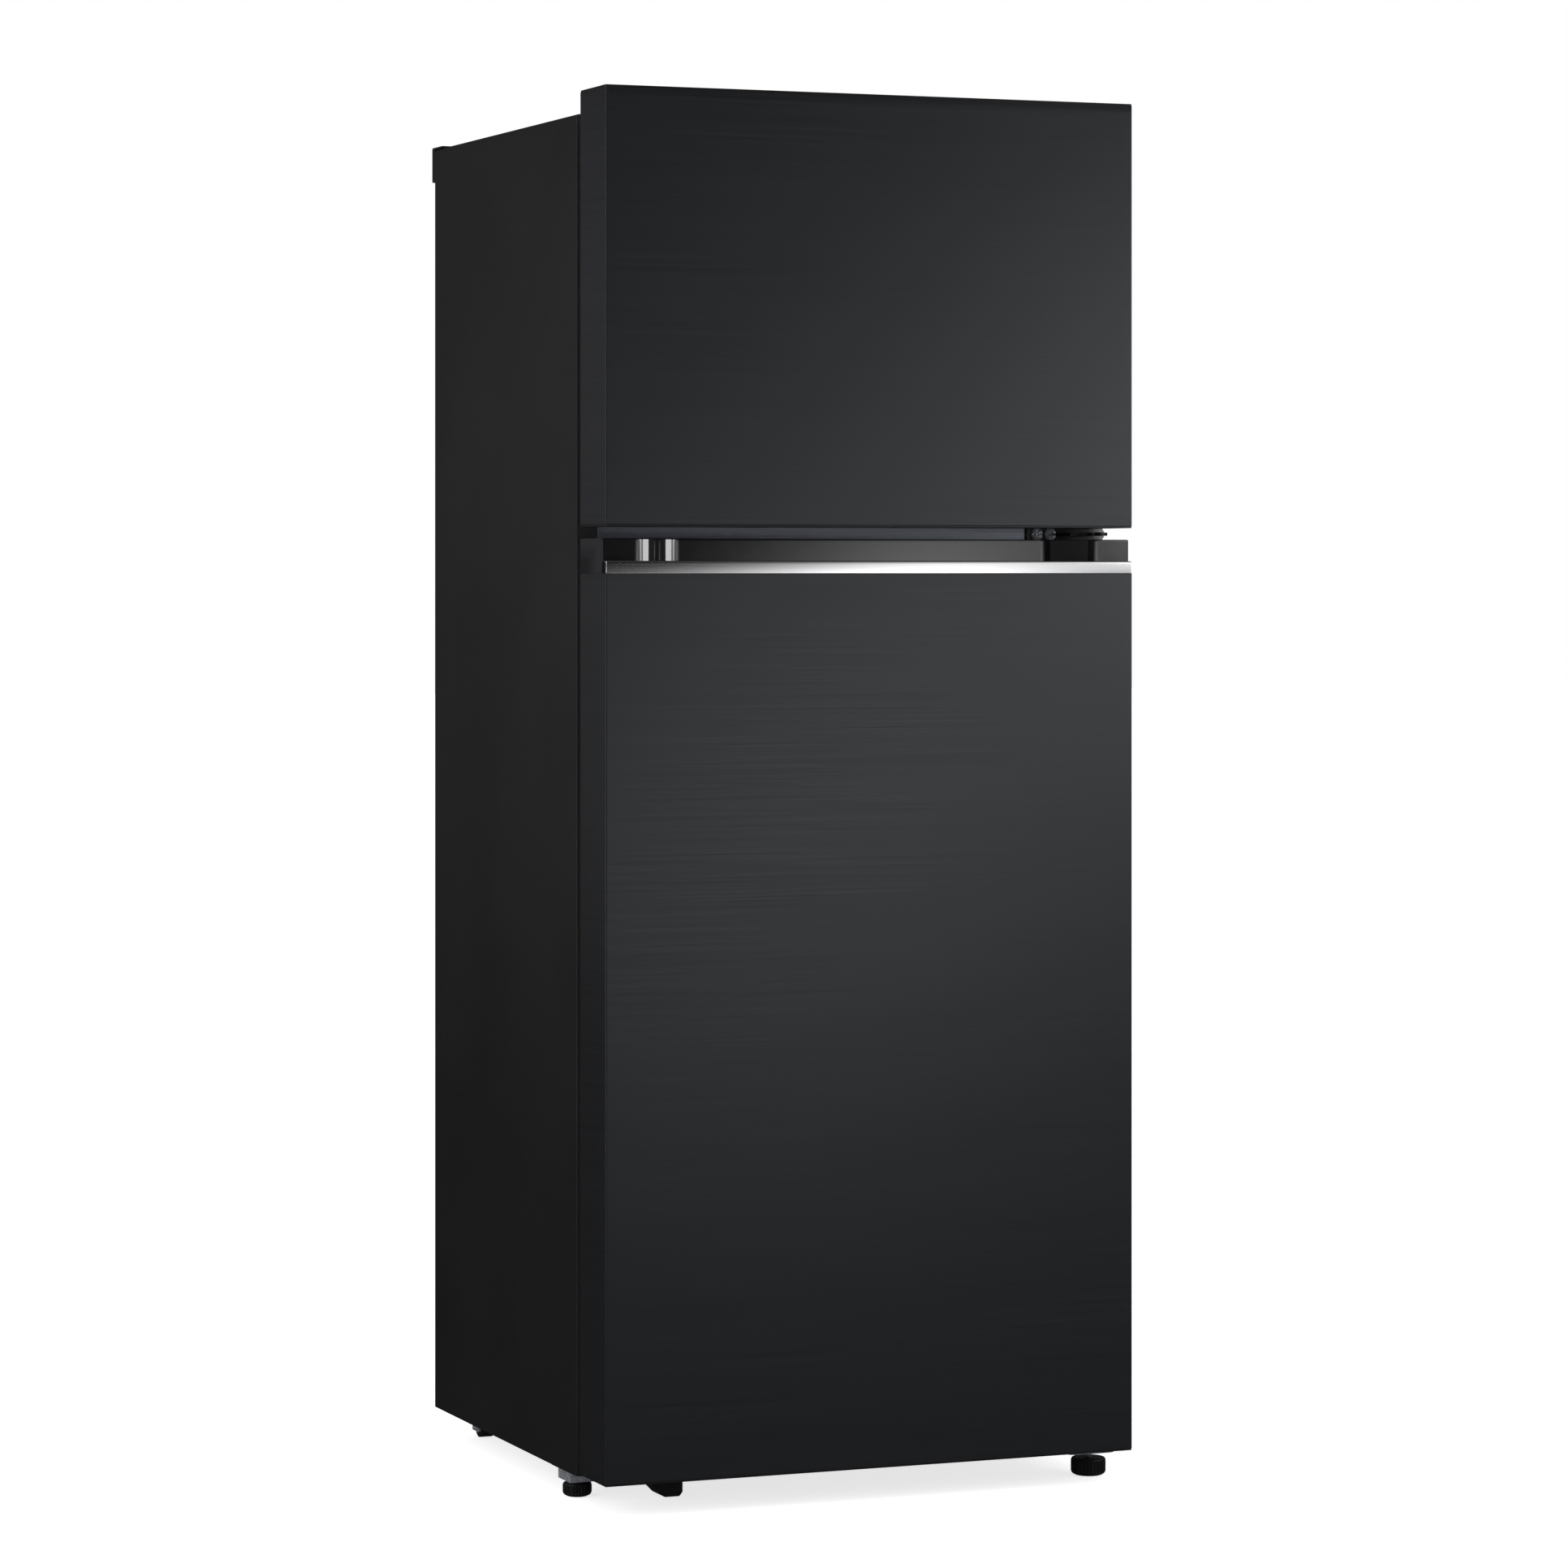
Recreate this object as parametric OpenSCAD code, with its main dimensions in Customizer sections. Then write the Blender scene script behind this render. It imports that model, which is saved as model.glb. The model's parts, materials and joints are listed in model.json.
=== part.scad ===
// Two-door refrigerator with the freezer compartment on top.
// Front faces -Y, +X is the hinge side, the floor is z = 0 and the middle of the footprint is the origin.

/* [Cabinet] */
// Width of the cabinet and of both doors
body_w = 700; // [583:1:840]
// Depth of the steel cabinet from its front edge to its back panel
case_d = 561; // [467:1:673]
// Height of the steel cabinet without its feet
case_h = 1661; // [1384:1:1993]
// Height of the cabinet's underside above the floor
case_z0 = 36; // [36:1:44]
// Thickness of each insulated side wall
side_wall = 50; // [42:1:60]
// Thickness of the insulated back wall
back_wall = 60; // [50:1:72]
// Thickness of the insulated roof
roof_wall = 55; // [46:1:66]
// Thickness of the insulated floor
floor_wall = 62; // [52:1:74]
// Height of the insulated wall between the two compartments
mullion_h = 60; // [50:1:72]
// Thickness of the folded steel sheet
sheet = 1; // [0.8:0.1:1.2]
// Thickness of the vacuum-formed plastic liners
liner_t = 2; // [1.6:0.1:2.4]
// Width of the steel edge that is folded inwards round the cabinet's front
flange_w = 27; // [24:1:32]
// Radius of the cabinet's long top edges
case_r = 4; // [2:0.5:5]

/* [Doors] */
// Thickness of each door from its front skin to its back face
door_t = 90; // [75:1:108]
// Height of the freezer door
freezer_door_h = 530.5; // [442:0.5:636.5]
// Gap between the two doors
door_gap = 14.5; // [12.5:0.5:17.5]
// Height of the fridge door's lower edge above the floor
door_z0 = 40; // [40:1:48]
// How far the freezer door stands above the cabinet
door_rise = 27; // [24:1:32]
// Gap between a door's back face and the cabinet, closed by the gasket
gasket_gap = 14; // [12:0.5:17]
// Radius of the vertical front edges of a door
door_edge_r = 2; // [1.5:0.5:3]
// Thickness of the plastic end caps of a door
cap_t = 2.5; // [2:0.5:3.5]
// Width of the gasket's section
gasket_w = 18; // [15:1:20]
// Depth of the raised rim on a door's inner liner
rim_d = 36; // [30:1:43]
// Width of that rim
rim_w = 24; // [20:1:28]
// How far a door bin stands out beyond the rim
bin_out = 82; // [68:1:98]
// Height of an ordinary door bin
bin_h = 92; // [76:1:110]
// Height of the deep bottle bin
bottle_bin_h = 150; // [125:1:180]
// Wall of bins and drawers
bin_wall = 2.5; // [2:0.5:3]

/* [Handle recess] */
// Height of the recess at the top of the fridge door
recess_h = 42.2; // [38:0.1:50]
// Height of the bright trim along its lower edge
trim_h = 15.2; // [12:0.1:18]
// Setback of the recess wall at its two flat ends
recess_land = 12; // [10:1:14]
// Setback of the recess wall in the middle, where fingers go
recess_d = 38; // [32:1:45]
// Length of each flat end of the recess wall
land_len = 40; // [33:1:48]
// Length of the curve between a flat end and the deep middle
sweep_len = 68; // [57:1:82]
// Thickness of the grip lip behind the bright trim
lip_t = 9; // [7:0.5:10]
// Depth of the finger groove behind the lip, below the trim's top
groove_d = 30; // [25:1:36]

/* [Hinges] */
// Distance of the hinge pins from the doors' right edge
pin_inset_x = 24; // [22:1:28]
// Distance of the hinge pins behind the doors' front face
pin_inset_y = 50; // [42:1:60]
// Radius of the hinge pins
pin_r = 5; // [4:0.5:6]
// Radial clearance of a pin in its socket
pin_clear = 0.05; // [0.02:0.01:0.1]
// Length of pin that goes into a door
pin_len = 22; // [18:1:26]
// Thickness of the hinge plates
plate_t = 4; // [3:0.5:5]

/* [Feet and rollers] */
// Radius of the right front foot, which is screwed into the lower hinge
foot_right_r = 22; // [18:1:24]
// Height of the right front foot
foot_right_h = 22; // [18:1:24]
// Radius of the left front foot
foot_left_r = 18; // [15:1:22]
// Height of the left front foot
foot_left_h = 17; // [14:1:20]
// Radius of the threaded stems
stem_r = 5; // [4:0.5:6]
// Radius of the rear rollers
roller_r = 15; // [13:0.5:17]
// Width of the rear rollers
roller_w = 18; // [15:1:22]
// Radius of the roller axles
axle_r = 3; // [2.5:0.5:4]

/* [Machine space] */
// Depth of the machine space at the lower back
machine_d = 185; // [160:1:200]
// Height of the machine space
machine_h = 215; // [195:1:250]
// Radius of the compressor's shell
compressor_r = 68; // [57:1:72]
// Height of the compressor's shell
compressor_h = 140; // [120:1:150]
// How far the lifting grips stand out behind the cabinet
grip_d = 12; // [10:1:15]

/* [Inside] */
// Height of the space kept for ice making under the freezer roof
ice_space_h = 206; // [200:1:240]
// Depth of the evaporator space behind the freezer cover
evaporator_d = 65; // [55:1:75]
// Height of the vegetable drawers
crisper_h = 184; // [153:1:220]
// Height of the chill drawer
chill_h = 100; // [84:1:120]
// Travel that drawers have behind the closed door
drawer_travel = 45; // [38:1:54]
// Thickness of the glass shelves
glass_t = 4; // [3:0.5:5]
// Height of the plastic trim round a shelf
trim_rim_h = 14; // [11:1:17]

/* [Hidden] */
$fn = 64;

half = body_w / 2;
total_d = door_t + gasket_gap + case_d + grip_d;
y_door = -total_d / 2;
y_door_back = y_door + door_t;
y_case = y_door_back + gasket_gap;
y_back = y_case + case_d;
case_top = case_z0 + case_h;
door_top = case_top + door_rise;
freezer_door_z0 = door_top - freezer_door_h;
fridge_door_top = freezer_door_z0 - door_gap;
gap_mid_z = fridge_door_top + door_gap / 2;

// Compartments
room_x = half - side_wall;
room_back = y_back - back_wall;
freezer_z0 = gap_mid_z + mullion_h / 2;
freezer_z1 = case_top - roof_wall;
fridge_z1 = gap_mid_z - mullion_h / 2;
fridge_z0 = case_z0 + floor_wall;
machine_y = y_back - machine_d;
machine_z1 = case_z0 + machine_h;
step_insulation = 45;
step_y = machine_y - step_insulation;
step_z = machine_z1 + step_insulation;

// Hinge line
pin_x = half - pin_inset_x;
pin_y = y_door + pin_inset_y;
hole_r = pin_r + pin_clear;

// Doors
gasket_x = pin_x - 2;
gasket_end = 10;
rail_proud = 1;
seal_gap = 0.3;
rim_side_gap = 12;
rim_end_gap = 8;
rim_x = room_x - rim_side_gap;
bin_x = rim_x - rim_w;
bin_back = y_door_back + rim_d + bin_out;
bin_shelf_gap = 10;
shelf_front = bin_back + bin_shelf_gap;
drawer_gap = 5;

function arc_points(c, r, a0, a1, n) =
    [for (i = [0:n]) c + r * [cos(a0 + (a1 - a0) * i / n), sin(a0 + (a1 - a0) * i / n)]];

module block(lo, hi) {
    translate(lo) cube(hi - lo);
}

// A rectangle whose four corners are true arcs
module round_rect(lo, hi, r) {
    translate([lo[0] + r, lo[1]]) square([hi[0] - lo[0] - 2 * r, hi[1] - lo[1]]);
    translate([lo[0], lo[1] + r]) square([hi[0] - lo[0], hi[1] - lo[1] - 2 * r]);
    for (x = [lo[0] + r, hi[0] - r], y = [lo[1] + r, hi[1] - r]) translate([x, y]) circle(r);
}

// A box with rounded upright edges, standing from z0 to z1
module round_block(lo, hi, r) {
    translate([0, 0, lo[2]]) linear_extrude(hi[2] - lo[2])
        round_rect([lo[0], lo[1]], [hi[0], hi[1]], r);
}

// An open-topped tub with an even wall
module tub(lo, hi, r, wall) {
    difference() {
        round_block(lo, hi, r);
        round_block(lo + [wall, wall, wall], hi + [-wall, -wall, 1], r - wall);
    }
}

// A flat ring that stands upright, facing the doors
module upright_ring(lo, hi, y0, y1, w) {
    difference() {
        block([lo[0], y0, lo[1]], [hi[0], y1, hi[1]]);
        block([lo[0] + w, y0 - 1, lo[1] + w], [hi[0] - w, y1 + 1, hi[1] - w]);
    }
}

module x_rod(p, len, r) {
    translate(p) rotate([0, 90, 0]) cylinder(h = len, r = r);
}

module y_rod(p, len, r) {
    translate(p) rotate([-90, 0, 0]) cylinder(h = len, r = r);
}

module z_rod(p, len, r) {
    translate(p) cylinder(h = len, r = r);
}

// ---- Cabinet ----

base_flange_h = 39;

module case_outline(inset, z0) {
    r = case_r - inset;
    x = half - inset;
    top = case_top - inset;
    translate([-x, z0]) square([2 * x, top - r - z0]);
    translate([-x + r, top - r - 1]) square([2 * (x - r), r + 1]);
    for (s = [-1, 1]) translate([s * (x - r), top - r]) circle(r);
}

module case_prism(inset, z0, y0, y1) {
    translate([0, y1, 0]) rotate([90, 0, 0]) linear_extrude(y1 - y0) case_outline(inset, z0);
}

// Steel wrapper: two sides and the roof, folded inwards round the front
module outer_case() {
    color("#1c1c1d") union() {
        difference() {
            case_prism(0, case_z0, y_case, y_back);
            case_prism(sheet, case_z0 - 1, y_case - 1, y_back + 1);
        }
        difference() {
            case_prism(0, case_z0, y_case, y_case + sheet);
            block([-half + flange_w, y_case - 1, case_z0 - 1],
                [half - flange_w, y_case + sheet + 1, case_top - flange_w]);
        }
    }
}

bead_inset = 130;
bead_z = 200;
bead_pitch = 300;
bead = [160, 0.4, 8];

// Steel sheet with pressed beads that closes the back above the machine space
module back_panel() {
    color("#3a3b3d") difference() {
        block([-half + sheet, y_back - sheet, machine_z1], [half - sheet, y_back, case_top - case_r]);
        for (x = [-1, 1], i = [0:3])
            translate([x * (half - bead_inset), y_back - sheet / 2, machine_z1 + bead_z + i * bead_pitch])
                cube(bead, center = true);
    }
}

// Bent steel floor that also walls off the machine space
module base_pan() {
    color("#8f9397") union() {
        block([-half + sheet, y_case + sheet, case_z0], [half - sheet, machine_y, case_z0 + sheet]);
        block([-half + flange_w, y_case, case_z0],
            [half - flange_w, y_case + sheet, case_z0 + base_flange_h]);
        block([-half + sheet, machine_y - sheet, case_z0], [half - sheet, machine_y, machine_z1 + sheet]);
        block([-half + sheet, machine_y - sheet, machine_z1],
            [half - sheet, y_back - sheet, machine_z1 + sheet]);
    }
}

module freezer_room(grow) {
    block([-room_x - grow, y_case - 1 + (grow > 0 ? 1 : 0), freezer_z0 - grow],
        [room_x + grow, room_back + grow, freezer_z1 + grow]);
}

module fridge_room(grow) {
    front = y_case - 1 + (grow > 0 ? 1 : 0);
    block([-room_x - grow, front, fridge_z0 - grow], [room_x + grow, step_y + grow, fridge_z1 + grow]);
    block([-room_x - grow, front, step_z - grow], [room_x + grow, room_back + grow, fridge_z1 + grow]);
}

module insulation_foam() {
    color("#e9dfae") difference() {
        case_prism(sheet, case_z0 + sheet, y_case + liner_t, y_back - sheet);
        block([-half, machine_y - sheet, 0], [half, y_back, machine_z1 + sheet]);
        freezer_room(liner_t);
        fridge_room(liner_t);
    }
}

module freezer_liner() {
    color("#eef0f1") difference() {
        union() {
            freezer_room(liner_t);
            block([-half + flange_w, y_case, freezer_z0 - liner_t],
                [half - flange_w, y_case + liner_t, case_top - flange_w]);
        }
        freezer_room(0);
    }
}

module fridge_liner() {
    color("#eef0f1") difference() {
        union() {
            fridge_room(liner_t);
            block([-half + flange_w, y_case, case_z0 + base_flange_h],
                [half - flange_w, y_case + liner_t, fridge_z1 + liner_t]);
        }
        fridge_room(0);
        block([-half + flange_w - 1, y_case - 1, case_z0],
            [half - flange_w + 1, y_case + sheet, case_z0 + base_flange_h]);
    }
}

// Front strip of the wall between the compartments, seen between the doors
module centre_rail() {
    color("#5a5e66") block([-half + flange_w, y_case - rail_proud, fridge_z1 + liner_t],
        [half - flange_w, y_case + liner_t, freezer_z0 - liner_t]);
}

// ---- Hinges ----

arm_w = 28;
arm_t = 3;
notch_gap = 3;
arm_z = door_top - 9;
notch_z = arm_z - 4;
notch_front = pin_y - 32;
arm_y = y_case + 6;
arm_back = arm_y + arm_t;
bracket_len = 74;
bracket_reach = 45;
bracket_side = 5;
top_screws = [[pin_x - 30, y_case + 30], [pin_x + 6, y_case + 30], [pin_x - 30, y_case + 62]];

// Fixed arm over the freezer door, with the pin that points down into it
module top_hinge() {
    color("#9aa0a6") difference() {
        union() {
            block([pin_x - bracket_reach, arm_y, case_top],
                [half - bracket_side, arm_y + bracket_len, case_top + arm_t]);
            block([pin_x - arm_w / 2, arm_y, case_top], [pin_x + arm_w / 2, arm_back, arm_z + arm_t]);
            block([pin_x - arm_w / 2, pin_y, arm_z], [pin_x + arm_w / 2, arm_back, arm_z + arm_t]);
            z_rod([pin_x, pin_y, arm_z], arm_t, arm_w / 2);
            z_rod([pin_x, pin_y, notch_z - pin_len], arm_z + 1 - notch_z + pin_len, pin_r);
        }
        for (p = top_screws) z_rod([p[0], p[1], case_top - 1], arm_t + 2, screw_r + screw_clear);
    }
}

cover_t = 2;
cover_r = 8;
cover_gap = 5;
cover_lo = [pin_x - bracket_reach - cover_gap, y_case + 1, case_top];
cover_hi = [half - 1, arm_y + bracket_len + cover_gap, door_top - 1];

// Moulded cover over the hinge bracket, with a nose that follows the arm onto the door
module top_hinge_cover() {
    nose_r = arm_w / 2 + 1.5;
    nose_z = cover_hi[2] - cover_t;
    color("#202123") difference() {
        union() {
            round_block(cover_lo, cover_hi, cover_r);
            block([pin_x - nose_r, pin_y, nose_z], [pin_x + nose_r, cover_lo[1] + 10, cover_hi[2]]);
            z_rod([pin_x, pin_y, nose_z], cover_t, nose_r);
        }
        round_block([cover_lo[0] + cover_t, cover_lo[1] + cover_t, case_top - 1],
            [cover_hi[0] - cover_t, cover_hi[1] - cover_t, nose_z], cover_r - cover_t);
        block([pin_x - nose_r, cover_lo[1] - 1, arm_z - 1], [pin_x + nose_r, cover_lo[1] + 5, nose_z]);
    }
}

leaf_h = 22;
leaf_t = 3;
leaf_x = [half - 100, half - 12];
screw_r = 2.5;
screw_clear = 0.3;
head_r = 8;
small_head_r = 5;
head_h = 3;
arm_eye_r = 12;
arm_flare = 24;
arm_left = pin_x - 34;
leaf_y = y_case - rail_proud - leaf_t;
centre_screws = [leaf_x[0] + 14, arm_left - head_r - 1.5];

// Arm between the doors, with one pin up into the freezer door and down into the fridge door
module centre_hinge() {
    color("#16171a") difference() {
        union() {
            block([leaf_x[0], leaf_y, gap_mid_z - leaf_h / 2],
                [leaf_x[1], leaf_y + leaf_t, gap_mid_z + leaf_h / 2]);
            block([arm_left, pin_y + arm_eye_r - 2, gap_mid_z - plate_t / 2],
                [pin_x + arm_eye_r, leaf_y, gap_mid_z + plate_t / 2]);
            translate([0, 0, gap_mid_z - plate_t / 2]) linear_extrude(plate_t) pin_arm_plan();
            z_rod([pin_x, pin_y, fridge_door_top - pin_len], 2 * pin_len + door_gap, pin_r);
        }
        for (x = centre_screws) y_rod([x, y_case - 10, gap_mid_z], 12, screw_r + screw_clear);
    }
}

module pin_arm_plan() {
    e = arm_eye_r;
    translate([pin_x, pin_y]) circle(e);
    translate([pin_x - e, pin_y]) square([2 * e, e]);
    polygon([[pin_x - e, pin_y], [arm_left, pin_y + arm_flare], [pin_x + e, pin_y + arm_flare],
        [pin_x + e, pin_y]]);
}

nut_h = 5;
foot_right_at = [half - 27, pin_y + 22];
bottom_screws = [for (x = [half - 40, half - 90], y = [y_case + 30, y_case + 66]) [x, y]];
front_x = half - 70;

// Plate under the cabinet that carries the fridge door and the right foot
module bottom_hinge() {
    z0 = case_z0 - plate_t;
    color("#b9bfc6") difference() {
        union() {
            block([front_x, pin_y, z0], [half - bracket_side, y_case + 20, case_z0]);
            block([front_x - 40, y_case, z0], [half - bracket_side, y_case + 80, case_z0]);
            translate([0, 0, z0]) linear_extrude(plate_t)
                round_rect([front_x, pin_y - 14], [half - bracket_side, pin_y + 30], 10);
            z_rod([pin_x, pin_y, z0], door_z0 - z0 + pin_len, pin_r);
            z_rod([pin_x, pin_y, case_z0 - 1], 1 + (door_z0 - case_z0) / 2, pin_r + 3);
            z_rod([foot_right_at[0], foot_right_at[1], z0 - nut_h], nut_h + 1, stem_r + 4);
        }
        z_rod([foot_right_at[0], foot_right_at[1], 0], case_z0 + 1, stem_r + 0.1);
        for (p = bottom_screws) z_rod([p[0], p[1], 0], case_z0 + 1, screw_r + screw_clear);
    }
}

// All machine screws that hold the hinges and the leg bracket
module hinge_screws() {
    color("#c8ccd1") {
        for (p = top_screws) {
            z_rod([p[0], p[1], case_top - sheet - 9], 9 + sheet + arm_t, screw_r);
            z_rod([p[0], p[1], case_top + arm_t], head_h, small_head_r);
        }
        for (x = centre_screws) {
            y_rod([x, leaf_y, gap_mid_z], 13, screw_r);
            y_rod([x, leaf_y - head_h, gap_mid_z], head_h, head_r);
        }
        for (p = bottom_screws) {
            z_rod([p[0], p[1], case_z0 - plate_t], plate_t + 12, screw_r);
            z_rod([p[0], p[1], case_z0 - plate_t - head_h], head_h, small_head_r);
        }
        for (p = leg_screws) {
            z_rod([p[0], p[1], leg_plate_z], leg_t + 12.5, screw_r);
            z_rod([p[0], p[1], leg_plate_z - head_h], head_h, small_head_r);
        }
    }
}

// ---- Feet, brackets and rollers ----

foot_left_at = [-half + 24.5, y_case + 67];
leg_t = 2.5;
leg_lo = [-half + 4, y_case + 2];
leg_hi = [-half + 58, y_case + 104];
leg_cup_z = foot_left_h + 3;
leg_plate_z = case_z0 - leg_t;
leg_screws = [[leg_hi[0] - 6.5, leg_lo[1] + 12], [leg_hi[0] - 6.5, leg_hi[1] - 12]];

// Pressed channel that holds the left foot below the floor of the cabinet
module left_leg_bracket() {
    cup = foot_left_at - [17, 22];
    cup_size = [38, 44];
    color("#aab4bd") difference() {
        union() {
            block([leg_lo[0], leg_lo[1], leg_plate_z], [leg_hi[0], leg_hi[1], case_z0]);
            difference() {
                block([cup[0], cup[1], leg_cup_z], [cup[0] + cup_size[0], cup[1] + cup_size[1], case_z0 - 1]);
                block([cup[0] + leg_t, cup[1] + leg_t, leg_cup_z + leg_t],
                    [cup[0] + cup_size[0] - leg_t, cup[1] + cup_size[1] - leg_t, case_z0 - leg_t]);
            }
        }
        z_rod([foot_left_at[0], foot_left_at[1], leg_cup_z - 1], leg_t + 2, stem_r + 0.1);
        for (p = leg_screws) z_rod([p[0], p[1], 0], case_z0 + 1, screw_r + screw_clear);
    }
}

block_clear = 1.6;
block_right_x = -half + 141;
block_depth = 44;
block_foot_w = 24;

// Moulded block under the front edge that guards the floor when the cabinet tips forward
module support_block() {
    h = case_z0;
    color("#1a1b1c") translate([block_right_x, y_case + 50, 0]) rotate([90, 0, 0]) linear_extrude(block_depth)
        polygon([[0, h], [0, 7], [-4, block_clear], [-block_foot_w, block_clear],
            [-block_foot_w - h + block_clear, h]]);
}

// A ribbed foot on a threaded stem
module ribbed_foot(at, r, h, stem_top) {
    ribs = 28;
    translate([at[0], at[1], 0]) {
        rotate_extrude() polygon([[0, 0], [r - 5, 0], [r - 2, 1], [r - 0.8, 3.5], [r - 0.8, h - 2],
            [r - 3, h], [0, h]]);
        for (i = [0:ribs - 1]) rotate(i * 360 / ribs) translate([r - 1.6, -0.7, 4]) cube([1.6, 1.4, h - 7]);
        cylinder(h = stem_top, r = stem_r);
    }
}

module foot_left() {
    color("#141415") ribbed_foot(foot_left_at, foot_left_r, foot_left_h, leg_plate_z - 1);
}

module foot_right() {
    color("#141415") ribbed_foot(foot_right_at, foot_right_r, foot_right_h, case_z0 + 1);
}

roller_x = half - 55;
roller_y = y_back - 44;
roller_side = 1;
hub_w = roller_w + 2 * roller_side;
fork_gap = hub_w / 2 + 0.5;

module roller(s) {
    color("#17181a") difference() {
        union() {
            x_rod([s * roller_x - roller_w / 2, roller_y, roller_r], roller_w, roller_r);
            x_rod([s * roller_x - hub_w / 2, roller_y, roller_r], hub_w, axle_r + 3);
        }
        x_rod([s * roller_x - roller_w, roller_y, roller_r], 2 * roller_w, axle_r + pin_clear);
    }
}

module roller_left() {
    roller(-1);
}

module roller_right() {
    roller(1);
}

fork_t = 2.5;
fork_front = 26;
fork_back = 14;
fork_z = roller_r - 7;
clip_t = 1.5;
tray_t = 2;
tray_top = case_z0 + tray_t;

// Steel tray across the lower back: carries the compressor and holds the roller forks
module compressor_tray() {
    color("#9097a0") difference() {
        union() {
            block([-half + sheet, machine_y, case_z0], [half - sheet, y_back - sheet, tray_top]);
            for (s = [-1, 1], e = [-1, 1]) {
                x = s * roller_x + e * (fork_gap + fork_t / 2);
                block([x - fork_t / 2, roller_y - fork_front, fork_z],
                    [x + fork_t / 2, roller_y + fork_back, case_z0 + 1]);
            }
        }
        for (s = [-1, 1]) {
            x_rod([s * roller_x - 40, roller_y, roller_r], 80, axle_r);
            for (e = [-1, 1])
                translate([s * roller_x + e * (fork_gap + fork_t / 2) - fork_t,
                    roller_y - fork_front - 1, fork_z - 1]) fork_wedge();
        }
    }
}

// Wedge that takes the lower front corner off a roller fork
module fork_wedge() {
    rotate([90, 0, 90]) linear_extrude(2 * fork_t) polygon([[0, 0], [16, 0], [0, 20]]);
}

// One pin through each fork, headed at both ends
module roller_axles() {
    reach = fork_gap + fork_t;
    color("#b9bfc6") for (s = [-1, 1]) {
        x_rod([s * roller_x - reach, roller_y, roller_r], 2 * reach, axle_r);
        for (x = [-reach - clip_t, reach])
            x_rod([s * roller_x + x, roller_y, roller_r], clip_t, axle_r + 1.5);
    }
}

grip_h = 46;
grip_w = 60;

// Plastic corner pieces at the top of the back, used to tilt the cabinet and to keep it off the wall
module rear_grips() {
    lip = 2.5;
    roof_tab = 30;
    wall = 4;
    pocket_h = 22;
    color("#141415") for (s = [-1, 1]) mirror([s > 0 ? 1 : 0, 0, 0]) difference() {
        union() {
            translate([-half, y_back, 0]) rotate([90, 0, 90]) linear_extrude(grip_w) union() {
                round_rect([0, case_top - grip_h + lip], [grip_d, case_top + lip], 3);
                translate([0, case_top - grip_h + lip]) square([grip_d / 2, grip_h - wall]);
                translate([-roof_tab, case_top]) square([roof_tab + 4, lip]);
            }
        }
        block([-half + wall, y_back - 0.5, case_top - wall - pocket_h],
            [-half + grip_w - wall, y_back + grip_d - wall, case_top - wall]);
    }
}

// ---- Machine space ----

slot_at = [-half + 60, case_z0 + 40];
slot_size = [6, 16];
slot_pitch = [14, 24];

// Slotted panel that closes the back of the machine space
module machine_cover() {
    color("#2b2c2e") difference() {
        block([-half + sheet, y_back - sheet, tray_top], [half - sheet, y_back, machine_z1]);
        for (i = [0:17], j = [0:5]) {
            x = slot_at[0] + i * slot_pitch[0];
            z = slot_at[1] + j * slot_pitch[1];
            block([x, y_back - 2, z], [x + slot_size[0], y_back + 1, z + slot_size[1]]);
        }
        y_rod([gland_x, y_back - 2, gland_z], 4, gland_r);
    }
}

gland_r = 7;
gland_bore_r = 4;
gland_x = half - 60;
gland_z = case_z0 + 60;

// Rubber ring where the mains lead would pass the cover
module cord_gland() {
    color("#101011") difference() {
        union() {
            y_rod([gland_x, y_back - 6, gland_z], 8, gland_r);
            y_rod([gland_x, y_back, gland_z], 3, gland_r + 3);
        }
        y_rod([gland_x, y_back - 7, gland_z], 12, gland_bore_r);
    }
}

compressor_at = [half - 170, machine_y + machine_d / 2];
mount_h = 14;
shell_r = 18;
seam_w = 2.5;
terminal = [40, 44, 56];

// Welded shell on a foot plate with four rubber mounts and a terminal box
module compressor() {
    r = compressor_r;
    h = compressor_h;
    color("#1b1c1e") translate([compressor_at[0], compressor_at[1], tray_top]) union() {
        translate([0, 0, mount_h]) rotate_extrude() union() {
            translate([0, shell_r]) square([r, h - 2 * shell_r]);
            square([r - shell_r, h]);
            translate([0, h / 2 - 1]) square([r + seam_w, 4]);
            for (z = [shell_r, h - shell_r]) translate([r - shell_r, z]) circle(shell_r);
        }
        translate([0, 0, mount_h - 2]) linear_extrude(4) round_rect([-r - 8, -r + 4], [r + 8, r - 4], 12);
        for (x = [-1, 1], y = [-1, 1]) z_rod([x * (r - 6), y * (r - 18), 0], mount_h, 9);
        translate([-r - terminal[0] + 18, -terminal[1] / 2, mount_h + 30]) cube(terminal);
    }
}

coil_w = body_w - 390;
coil_x0 = -half + 28;
coil_rows = 6;
coil_pitch = 24;
coil_r = 3;
coil_fins = 30;
coil_d = 40;
coil_side_t = 2;
fin_t = 1;

// Finned tube condenser beside the fan
module condenser() {
    y = y_back - 10 - coil_d;
    z0 = case_z0 + 40;
    z1 = z0 + coil_rows * coil_pitch;
    color("#222326") union() {
        for (i = [0:coil_rows - 1], c = [1, 3])
            x_rod([coil_x0, y + c * coil_d / 4, z0 + (i + 0.5) * coil_pitch], coil_w, coil_r);
        for (i = [1:coil_fins]) {
            x = coil_x0 + i * coil_w / (coil_fins + 1);
            block([x - fin_t / 2, y, z0], [x + fin_t / 2, y + coil_d, z1]);
        }
        for (x = [coil_x0, coil_x0 + coil_w - coil_side_t])
            block([x, y, tray_top], [x + coil_side_t, y + coil_d, z1]);
    }
}

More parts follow.
